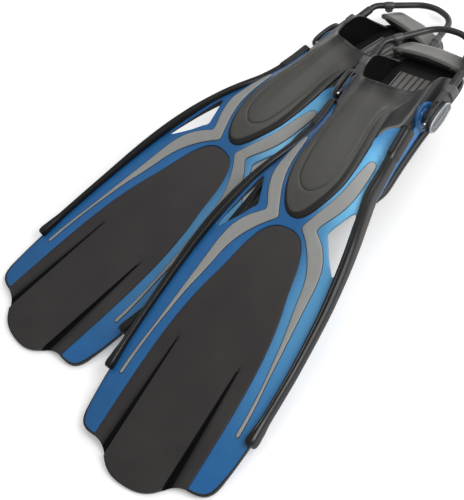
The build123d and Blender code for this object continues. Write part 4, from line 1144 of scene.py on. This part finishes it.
def pad_top(x, y):
    d = dist_to([front_loop], x, y)
    fade = 1 - step01((y - 176) / 26.0)
    rim = rim_width(x, y)
    edge = np.clip(1 - d / (rim + 0.8), 0, 1) ** 2
    h = 3.4 * fade * (1 - 0.62 * edge) + 0.05
    h = h - 0.75 * fade * np.exp(-(line_dist(x, y) / 0.75) ** 2)
    inner = step01((d - 9.5) / 4.0) * fade
    h = h - 0.35 * inner
    base = skin_dz(x, y)
    return surf_z(x, y) + np.where(y > 176, np.maximum(base, -0.2 + 0 * base), -0.2) + h


rim_path = resample(smooth(mirrored(toe_r), 1.5), 1.6, False)
_t = np.gradient(rim_path, axis=0)
_t /= np.linalg.norm(_t, axis=1)[:, None]
rim_line = rim_path + np.stack([-_t[:, 1], _t[:, 0]], 1) * rim_width(rim_path[:, 0], rim_path[:, 1])[:, None]
lines = [line_full, offset(resample(line_full, 1.6, False), 0.8)[1:-1], offset(resample(line_full, 1.6, False), -0.8)[1:-1],
         rim_line[rim_line[:, 1] < 196], offset(rim_line, 1.1)[2:-2], offset(rim_line, -0.6)[2:-2]]
ob = plate("toe_panel", pad_outline, [], pad_top, lambda x, y: surf_z(x, y) - 3.1, r=1.3, rb=0.4, step=1.6, grid=4.0,
           lines=lines)


# Dark rim, partly the rim's own black rubber and partly painted shade; painted shade in the engraved line and over the
# pad's rear toward the opening.
def pad_rim_and_painted_shade(x, y, z, nz):
    d = dist_to([front_loop], x, y)
    r_ = rim_width(x, y)
    v = 0.95 * (1 - step01((d - r_ + 0.6) / 1.8)) * (1 - step01((y - 182) / 14.0))
    v = np.maximum(v, 0.85 * (line_dist(x, y) < 0.5) * (1 - step01((y - 176) / 10.0)))
    v = np.maximum(v, 0.80 * step01((y - 186 + 0.25 * np.abs(x)) / 26.0))
    return v


paint_light_and_tone(ob, pad_rim_and_painted_shade)
put(ob, "fin", "instep_rubber", ["toe_panel"])

# ---- footbed: ribbed insert ---------------------------------------------------------------------------------
S = []
prof = []
for x in np.arange(-35.0, 35.01, 0.5):
    k = (abs(x) % 9.4)
    gap = min(abs(k - 4.7), 4.7)
    prof.append((x, 1.9 * float(step01((gap - 1.0) / 0.9))))
for y in [45.0, 46.0, 50.0] + list(np.linspace(60, 262, 22)) + [266.0, 267.6, 268.2]:
    k = {45.0: 0.0, 46.0: 0.8, 267.6: 0.75, 268.2: 0.1}.get(y, 1.0)
    wmax = min(35.0, float(width(y)) - 5.2)
    top = [(x * wmax / 35.0, sole_z(y) + 5.5 + 1.5 * k + h * k) for x, h in prof]
    bot = [(wmax, sole_z(y) + 5.2), (-wmax, sole_z(y) + 5.2)]
    ring_ = [(x, y, z) for x, z in top] + [(x, y, z) for x, z in bot]
    S.append(ring_)
ob = loft("footbed", np.array(S) * KM)
shade(ob, 35)
# Painted shade in the gaps between the ribs.
paint_light_and_tone(ob, lambda x, y, z, nz: 0.95 * (1 - step01((z - sole_z(y) - 7.1) / 1.3)))
put(ob, "fin", "footbed_rubber", ["footbed"])

# ---- sole ------------------------------------------------------------------------------------------------------
pk_full = np.vstack([pk, pk[::-1] * (-1, 1)])
sole_out = offset(poly_clean(pk_full, 0.8) if area2(pk_full) > 0 else poly_clean(pk_full[::-1], 0.8), -1.5)
tread = [52 + 26 * k for k in range(9)]


def sole_bottom(x, y):
    z = sole_z(y)
    g = np.zeros_like(z)
    for t in tread:
        off = np.abs(y - t - 5.0 * (1 - (x / 56.0) ** 2) + 2.5)
        g = np.maximum(g, 1 - step01((off - 2.0) / 0.9))
    edge = step01((54.5 - np.abs(x)) / 2.0)
    return z + 1.7 * g * edge


sl = []
for t in tread:
    xs = np.arange(-56, 56.1, 3.0)
    for o_ in (-2.9, -2.0, 2.0, 2.9):
        sl.append(np.stack([xs, t + 5.0 * (1 - (xs / 56.0) ** 2) - 2.5 + o_], 1))
ob = plate("sole_plate", sole_out, [], lambda x, y: sole_z(y) + 5.3 + 0 * x, sole_bottom, r=1.2, rb=1.2, step=2.4, grid=6.0,
           lines=sl)
# Painted shade: the sole's upward faces, inside the pocket, are painted near black.
paint_light_and_tone(ob, lambda x, y, z, nz: 0.95 * (nz > 0.5))
put(ob, "fin", "sole_rubber", ["sole_plate"])

# ---- strap side: real millimetres from here ------------------------------------------------------------------------
BY, BZ = 205 * K, -36.5 * K
DIP = math.radians(6.0)
STRAP = T(0, BY * MM, BZ * MM) @ R(-6.0, "X")


def strap_pt(x, u, w=0.0):
    return np.array([x, BY + u * math.cos(DIP) + w * math.sin(DIP), BZ - u * math.sin(DIP) + w * math.cos(DIP)])


def revolve(name, profile, M, n=56):
    """Turned piece: profile (along, radius) in mm, axis = local +x of M."""
    S = []
    a = np.linspace(0, 2 * math.pi, n, endpoint=False)
    for x, r_ in profile:
        S.append(np.stack([np.full(n, x), r_ * np.cos(a), r_ * np.sin(a)], 1))
    ob = loft(name, np.array(S) * MM)
    ob.data.transform(M)
    ob.data.update()
    shade(ob, 35)
    return ob


AX = T(0, BY * MM, BZ * MM)
ob = revolve("boss", [(52.9, 17.6), (52.9, 18.9), (55.6, 19.0), (56.6, 18.7), (57.2, 18.0), (57.45, 17.0), (57.4, 14.6),
                      (57.0, 14.1), (56.3, 13.9), (56.1, 13.3), (56.1, 11.4), (56.5, 10.9), (57.2, 10.6), (57.45, 9.8), (57.45, 4.3),
                      (52.9, 4.3)], AX)
# Painted shade on the boss.
paint_light_and_tone(ob, lambda x, y, z, nz: 0.55 + 0 * x)
put_pair(ob, "fin", "blue_plastic")

sleeve = [(50.05, 3.55), (50.05, 4.9), (50.6, 5.3), (54.6, 5.3), (54.9, 5.0), (55.5, 5.0), (55.8, 5.3), (70.6, 5.25), (71.8, 5.0),
          (72.6, 4.6), (73.0, 4.1), (73.0, 3.55)]
ALONG = STRAP @ T(0.06175, 0, 0) @ Matrix(((0, -1, 0, 0), (1, 0, 0, 0), (0, 0, 1, 0), (0, 0, 0, 1)))
ob = revolve("sleeve", sleeve, ALONG)
put_pair(ob, "strap", "sleeve_rubber", ["sleeve"])


def fillet_path(pts, radii, step=1.2):
    pts = [np.array(p, float) for p in pts]
    out = [pts[0]]
    for i in range(1, len(pts) - 1):
        a, b, c = pts[i - 1], pts[i], pts[i + 1]
        d0 = (b - a) / np.linalg.norm(b - a)
        d1 = (c - b) / np.linalg.norm(c - b)
        turn = math.acos(np.clip(np.dot(d0, d1), -1, 1))
        r_ = radii[i - 1]
        t = r_ * math.tan(turn / 2)
        p, q = b - d0 * t, b + d1 * t
        n_ = np.cross(np.cross(d0, d1), d0)
        n_ /= np.linalg.norm(n_)
        c0 = p + n_ * r_
        out.append(p)
        m = max(6, int(r_ * turn / step))
        for k in range(1, m):
            a_ = turn * k / m
            out.append(c0 - n_ * r_ * math.cos(a_) + d0 * r_ * math.sin(a_))
        out.append(q)
    out.append(pts[-1])
    P = np.array(out)
    L = np.concatenate([[0], np.cumsum(np.linalg.norm(np.diff(P, axis=0), axis=1))])
    t = np.linspace(0, L[-1], int(L[-1] / step))
    return np.stack([np.interp(t, L, P[:, k]) for k in range(3)], 1)


CX = 61.75
p0, p1 = strap_pt(CX, 43.0), strap_pt(CX, 80.0)
p2 = np.array([24 * K, 347 * K, -76.5 * K])
mir = np.array([-1, 1, 1])
path = fillet_path([p0, p1, p2, p2 * mir, p1 * mir, p0 * mir], [19.5, 36.9, 36.9, 19.5])
ob = tube("bungee", path * MM, 4.1 * MM, sides=28)
put(ob, "strap", "cord_rubber", ["bungee"])

# ---- heel pad ----------------------------------------------------------------------------------------------------------
PAD_FRONT_Y = [(0, 288.5), (30, 287.3), (48, 285.5), (58, 285.0)]
PAD_FRONT_Z = [(0, -51.0), (30, -51.3), (48, -52.5), (58, -54.5)]
PAD_BACK_Y = [(0, 316.5), (44, 313.5), (58, 309.0)]
PAD_BACK_Z = [(0, -70.0), (44, -70.5), (58, -73.5)]
S = []
xs = [-58.6, -58.3, -57.4, -55.5, -52.5] + list(np.linspace(-49, 49, 33)) + [52.5, 55.5, 57.4, 58.3, 58.6]
for x in xs:
    ax = abs(x)
    f = np.array([interp(PAD_FRONT_Y, ax) * K, interp(PAD_FRONT_Z, ax) * K])
    b = np.array([interp(PAD_BACK_Y, ax) * K, interp(PAD_BACK_Z, ax) * K])
    dv = (b - f) / np.linalg.norm(b - f)
    nr = np.array([-dv[1], dv[0]])
    k = {58.6: 0.45, 58.3: 0.7, 57.4: 0.88, 55.5: 0.97}.get(ax, 1.0)
    end = math.sqrt(max(0.0, 1 - (max(0.0, ax - 44.0) / 14.9) ** 2))
    skirt = 19.5 - 9.5 * float(step01((ax - 36) / 22.0))
    L_ = np.linalg.norm(b - f)
    # middle line of the band: back edge, over the face, round the front edge and down
    mid = [b - dv * 1.4 - nr * 2.8, b - dv * 0.30 * L_ - nr * 3.5, b - dv * 0.62 * L_ - nr * 3.3, f + dv * 4.6 - nr * 2.4,
           f + dv * 2.4 - nr * 3.6, f + np.array([2.3, -6.0]), f + np.array([2.6, 1.6 - skirt])]
    c = smooth(mid, 1.6)
    c = resample(c, 1.0, False)
    c = np.stack([np.interp(np.linspace(0, 1, 26), np.linspace(0, 1, len(c)), c[:, i]) for i in range(2)], 1)
    cm = c.mean(0)
    c = cm + (c - cm) * (0.42 + 0.58 * end)
    t_ = np.gradient(c, axis=0)
    t_ /= np.linalg.norm(t_, axis=1)[:, None]
    n2 = np.stack([-t_[:, 1], t_[:, 0]], 1)
    sN = np.linspace(0, 1, len(c))
    half = np.interp(sN, [0, 0.05, 0.3, 0.55, 0.68, 0.8, 1.0], [1.9, 2.6, 2.5, 2.7, 2.7, 2.0, 1.7]) * k
    up_, dn = c - n2 * half[:, None], c + n2 * half[:, None]
    e0 = [c[0] - t_[0] * half[0] * math.cos(q) + n2[0] * half[0] * math.sin(q) for q in (1.0, 0.35, -0.35, -1.0)]
    e1 = [c[-1] + t_[-1] * half[-1] * math.cos(q) - n2[-1] * half[-1] * math.sin(q) for q in (1.0, 0.35, -0.35, -1.0)]
    loop2 = np.vstack([up_, e1, dn[::-1], e0])
    S.append(np.stack([np.full(len(loop2), x * K), loop2[:, 0], loop2[:, 1]], 1))
ob = loft("heel_pad", np.array(S) * MM)
bm = bmesh.new()
bm.from_mesh(ob.data)
bmesh.ops.recalc_face_normals(bm, faces=bm.faces)
bm.to_mesh(ob.data)
bm.free()
shade(ob, 60)


# Painted light on the heel pad: the band's back edge stays light as a painted highlight, with painted shade toward the
# front edge, the ends, the +x side and the underside.
def heel_painted_light(x, y, z, nz):
    yf = vinterp(PAD_FRONT_Y, np.abs(x))
    yb = vinterp(PAD_BACK_Y, np.abs(x))
    q = (y - yf) / (yb - yf)
    v = 0.92 * (1 - step01((q + 0.02) / 0.46))
    v = np.maximum(v, 0.78 * step01((np.abs(x) - 34) / 20.0))
    v = np.maximum(v, 0.55 * step01((x - 2) / 46.0))
    return np.where(nz > 0.1, v, 0.92)


paint_light_and_tone(ob, heel_painted_light)
k0, k1 = p1 + (p2 - p1) * 0.165, p1 + (p2 - p1) * 0.335
parts = [ob]
for sg in (1, -1):
    q0, q1 = k0 * (sg, 1, 1), k1 * (sg, 1, 1)
    ln = np.linalg.norm(q1 - q0)
    tpos = [0, 0.02, 0.06, 0.14, 0.3, 0.5, 0.7, 0.86, 0.94, 0.98, 1.0]
    rad = [4.2, 4.6, 4.95, 5.1, 5.2, 5.2, 5.2, 5.1, 4.95, 4.6, 4.2]
    P_ = np.array([q0 + (q1 - q0) * t for t in tpos])
    t_ob = tube("keeper", P_ * MM, np.array(rad) * MM, sides=28)
    # Keeper darkened back to the black rubber's own tone, since the pad's material is the pale painted highlight.
    paint_light_and_tone(t_ob, lambda x, y, z, nz: 0.85 + 0 * x)
    parts.append(t_ob)
    cc = (q0 + q1) / 2
    foot = []
    for zz, kk in ((-8.5, 0.8), (-8.0, 1.0), (-2.0, 1.0), (-0.5, 0.9)):
        ring_ = []
        for aa in np.linspace(0, 2 * math.pi, 28, endpoint=False):
            ring_.append((4.3 * kk * math.copysign(abs(math.cos(aa)) ** 0.5, math.cos(aa)),
                          4.3 * kk * math.copysign(abs(math.sin(aa)) ** 0.5, math.sin(aa)), zz))
        foot.append(ring_)
    f_ob = loft("keeper_foot", np.array(foot) * MM)
    f_ob.data.transform(T(*(cc * MM)) @ R(-32, "X"))
    shade(f_ob, 45)
    # Keeper foot darkened back to the black rubber's own tone.
    paint_light_and_tone(f_ob, lambda x, y, z, nz: 0.85 + 0 * x)
    parts.append(f_ob)
bpy.ops.object.select_all(action="DESELECT")
for p in parts:
    p.select_set(True)
bpy.context.view_layer.objects.active = ob
bpy.ops.object.join()
put(ob, "strap", "strap_rubber", ["heel_pad"])

# ---- release lever's cover -------------------------------------------------------------------------------------------------
LU, LL, LW = 5.7, 44.6, 19.0
aa = np.linspace(0, 2 * math.pi, 96, endpoint=False)
oval = np.stack([LU + LL / 2 * np.sign(np.cos(aa)) * np.abs(np.cos(aa)) ** 0.8,
                 LW / 2 * np.sign(np.sin(aa)) * np.abs(np.sin(aa)) ** 0.8], 1) / K
rim_loop = offset(resample(oval, 1.2), 2.6 / K)


def cover_top(u, w):
    d = dist_to([oval], u, w) * K
    x = np.full(u.shape, 75.6)
    x = x - 0.75 * step01((d - 1.7) / 0.5) + 0.35 * step01((d - 3.5) / 5.0)
    du = np.clip(np.abs(u * K - LU) - 13.3, 0, None)
    gd = np.sqrt(du ** 2 + (w * K) ** 2)
    x = x - 1.1 * (1 - step01((gd - 1.15) / 0.5))
    return (x - 69.0) / K


gr = []
for rr in (1.1, 1.7):
    g_ = [(LU + 13.3 + rr * math.cos(t), rr * math.sin(t)) for t in np.linspace(-math.pi / 2, math.pi / 2, 9)]
    g_ += [(LU + t, rr) for t in np.linspace(12, -12, 20)]
    g_ += [(LU - 13.3 - rr * math.cos(t), rr * math.sin(t)) for t in np.linspace(math.pi / 2, -math.pi / 2, 9)]
    g_ += [(LU + t, -rr) for t in np.linspace(-12, 12, 20)]
    g_ = np.array(g_ + g_[:1]) / K
    gr.append(g_)
for dd in (1.75, 2.3):
    q = offset(resample(oval, 1.2), dd / K)
    gr.append(np.vstack([q, q[:1]]))
ob = plate("release_lever", oval, [], cover_top, lambda u, w: 0 * u, r=1.5, rb=0.5, step=1.2, grid=2.4, lines=gr)
UW = STRAP @ T(0.069, 0, 0) @ Matrix(((0, 0, 1, 0), (1, 0, 0, 0), (0, 1, 0, 0), (0, 0, 0, 1)))
me = ob.data
for mname in ("cover_plastic", "cover_rim", "buckle_plastic", "trim_black"):
    me.materials.append(MAT[mname])
cen = np.empty(len(me.polygons) * 3)
me.polygons.foreach_get("center", cen)
cen = cen.reshape(-1, 3) / MM
d = dist_to([oval], cen[:, 0] / K, cen[:, 1] / K) * K
du = np.clip(np.abs(cen[:, 0] - LU) - 13.3, 0, None)
gd = np.sqrt(du ** 2 + cen[:, 1] ** 2)
idx = np.where(cen[:, 2] < 5.0, 2, np.where(d < 1.95, 1, np.where(gd < 1.15, 3, np.where(gd < 1.75, 1, 0))))
idx[cen[:, 2] < 2.0] = 2
me.polygons.foreach_set("material_index", idx.astype(int))
ob.data.transform(UW)
parts = [ob]
PU, PX = -12.5, 66.2
kn = revolve("knuckle", [(-3.7, 1.4), (-3.7, 2.0), (-3.4, 2.3), (3.4, 2.3), (3.7, 2.0), (3.7, 1.4)],
             STRAP @ T(PX * MM, PU * MM, 0) @ Matrix(((0, 0, 1, 0), (0, 1, 0, 0), (-1, 0, 0, 0), (0, 0, 0, 1))).transposed(), 24)
kn.data.materials.append(MAT["buckle_plastic"])
parts.append(kn)


def block(name, x0, x1, u0, u1, w0, w1, rad=0.5):
    S = []
    for x, k in ((x0, 0.0), (x0 + rad * 0.3, 0.7), (x0 + rad, 1.0), (x1 - rad, 1.0), (x1 - rad * 0.3, 0.7), (x1, 0.0)):
        g_ = rad * (1 - k) * 0.8
        r_ = box_ring(0, [(u0 + g_, w0 + g_), (u1 - g_, w0 + g_), (u1 - g_, w1 - g_), (u0 + g_, w1 - g_)], 4, rad)
        S.append([(x, p[0], p[2]) for p in r_])
    o = loft(name, np.array(S) * MM)
    o.data.transform(STRAP)
    shade(o, 40)
    return o


parts.append(block("neck", PX, 69.6, PU - 1.7, PU + 1.7, -3.7, 3.7, 0.4))
parts.append(block("tooth", 66.6, 69.6, 21.2, 24.2, -2.6, 2.6, 0.4))
for p in parts[2:]:
    p.data.materials.append(MAT["buckle_plastic"])
bpy.ops.object.select_all(action="DESELECT")
for p in parts:
    p.select_set(True)
bpy.context.view_layer.objects.active = ob
bpy.ops.object.join()
put_pair(ob, "lever", "cover_plastic", ["release_lever"])

# ---- clip ---------------------------------------------------------------------------------------------------------------------
ob = block("clip", 57.4, 71.0, 37.4, 50.0, -6.2, 6.2, 1.7)
tg = block("tongue", 60.5, 65.3, 27.0, 38.4, -4.0, 4.0, 0.6)
r1_ = block("clip_rib", 70.6, 71.5, 39.6, 41.2, -4.6, 4.6, 0.4)
r2_ = block("clip_rib", 70.6, 71.5, 42.9, 44.5, -4.6, 4.6, 0.4)
r3_ = block("clip_rib", 70.6, 71.5, 46.2, 47.8, -4.6, 4.6, 0.4)
bpy.ops.object.select_all(action="DESELECT")
for p in (ob, tg, r1_, r2_, r3_):
    p.select_set(True)
bpy.context.view_layer.objects.active = ob
bpy.ops.object.join()
put_pair(ob, "strap", "clip_plastic", ["clip"])

# ---- carried-over hard pieces: eased edges --------------------------------------------------------------------------------
for side in FINS:
    for n in ("buckle_l", "buckle_r", "strap_stud_l", "strap_stud_r", "lever_pins"):
        o = frame["nodes"][side + "_" + n]
        modify(o, "WELD", merge_threshold=1e-6)
        modify(o, "BEVEL", width=0.00035, segments=2, limit_method="ANGLE", angle_limit=math.radians(40))

# ---- stage ----------------------------------------------------------------------
floor = new_object("floor", [(-20, -20, 0), (20, -20, 0), (20, 20, 0), (-20, 20, 0)], [(0, 1, 2, 3)])
fm = bpy.data.materials.new("floor")
fm.use_nodes = True
fm.node_tree.nodes["Principled BSDF"].inputs["Base Color"].default_value = (0.95, 0.95, 0.95, 1)
fm.node_tree.nodes["Principled BSDF"].inputs["Roughness"].default_value = 0.9
fm.node_tree.nodes["Principled BSDF"].inputs["Specular IOR Level"].default_value = 0.1
fm.node_tree.nodes["Principled BSDF"].inputs["Emission Color"].default_value = (1, 1, 1, 1)
fn, fl = fm.node_tree.nodes, fm.node_tree.links
ftc = fn.new("ShaderNodeTexCoord")
far = fn.new("ShaderNodeVectorMath")
far.operation = "LENGTH"
fl.new(ftc.outputs["Object"], far.inputs[0])
fmr = fn.new("ShaderNodeMapRange")
fmr.inputs["From Min"].default_value = 0.6
fmr.inputs["From Max"].default_value = 2.2
fmr.inputs["To Min"].default_value = 0.22
fmr.inputs["To Max"].default_value = 0.80
fl.new(far.outputs["Value"], fmr.inputs["Value"])
fl.new(fmr.outputs["Result"], fm.node_tree.nodes["Principled BSDF"].inputs["Emission Strength"])
floor.data.materials.append(fm)

world = bpy.data.worlds.new("world")
bpy.context.scene.world = world
world.use_nodes = True
wn, wl = world.node_tree.nodes, world.node_tree.links
wtc = wn.new("ShaderNodeTexCoord")
wsep = wn.new("ShaderNodeSeparateXYZ")
wl.new(wtc.outputs["Generated"], wsep.inputs["Vector"])
wramp = wn.new("ShaderNodeValToRGB")
wmr = wn.new("ShaderNodeMapRange")
wmr.inputs["From Min"].default_value = -1.0
wmr.inputs["From Max"].default_value = 1.0
wl.new(wsep.outputs["Z"], wmr.inputs["Value"])
wramp.color_ramp.elements[0].position = 0.497
wramp.color_ramp.elements[0].color = (1, 1, 1, 1)
wramp.color_ramp.elements[1].position = 0.875
wramp.color_ramp.elements[1].color = (0.48, 0.48, 0.48, 1)
wlow = wramp.color_ramp.elements.new(0.50)
wlow.color = (0.106, 0.106, 0.106, 1)
wl.new(wmr.outputs["Result"], wramp.inputs["Fac"])
wl.new(wramp.outputs["Color"], wn["Background"].inputs["Color"])
wn["Background"].inputs["Strength"].default_value = 1.0
bpy.context.scene.view_settings.view_transform = "Standard"
bpy.context.scene.view_settings.look = "None"


def area(name, loc, aim, size, power, color=(1, 1, 1)):
    l = bpy.data.lights.new(name, "AREA")
    l.shape = "RECTANGLE"
    l.size, l.size_y = size
    l.energy = power
    l.color = color
    o = bpy.data.objects.new(name, l)
    bpy.context.scene.collection.objects.link(o)
    o.location = loc
    o.rotation_euler = (Vector(aim) - Vector(loc)).to_track_quat("-Z", "Y").to_euler()
    return o


area("key", (1.7, 0.5, 1.3), (0, 0, 0.03), (1.2, 1.2), 36)
area("back", (0.1, 2.1, 1.1), (0, 0, 0.03), (1.8, 0.6), 22)
area("sheen", (-0.85, 0.45, 1.45), (0.15, 0.0, 0.03), (0.7, 0.7), 3.4)

# ---- camera ----------------------------------------------------------------------
Rw = ((0.61993, 0.709618, -0.334857), (0.435757, -0.66625, -0.605166), (-0.652536, 0.229244, -0.72225))
cam_data = bpy.data.cameras.new("camera")
cam = bpy.data.objects.new("camera", cam_data)
bpy.context.scene.collection.objects.link(cam)
rows = [Vector(Rw[0]), -Vector(Rw[1]), -Vector(Rw[2])]
M = Matrix((rows[0], rows[1], rows[2])).transposed().to_4x4()
M.translation = Vector((1.28033, -0.514476, 1.422381))
cam.matrix_world = M
cam_data.sensor_width = 36.0
cam_data.lens = 1600 * 36 / 500
cam_data.clip_end = 50
bpy.context.scene.camera = cam
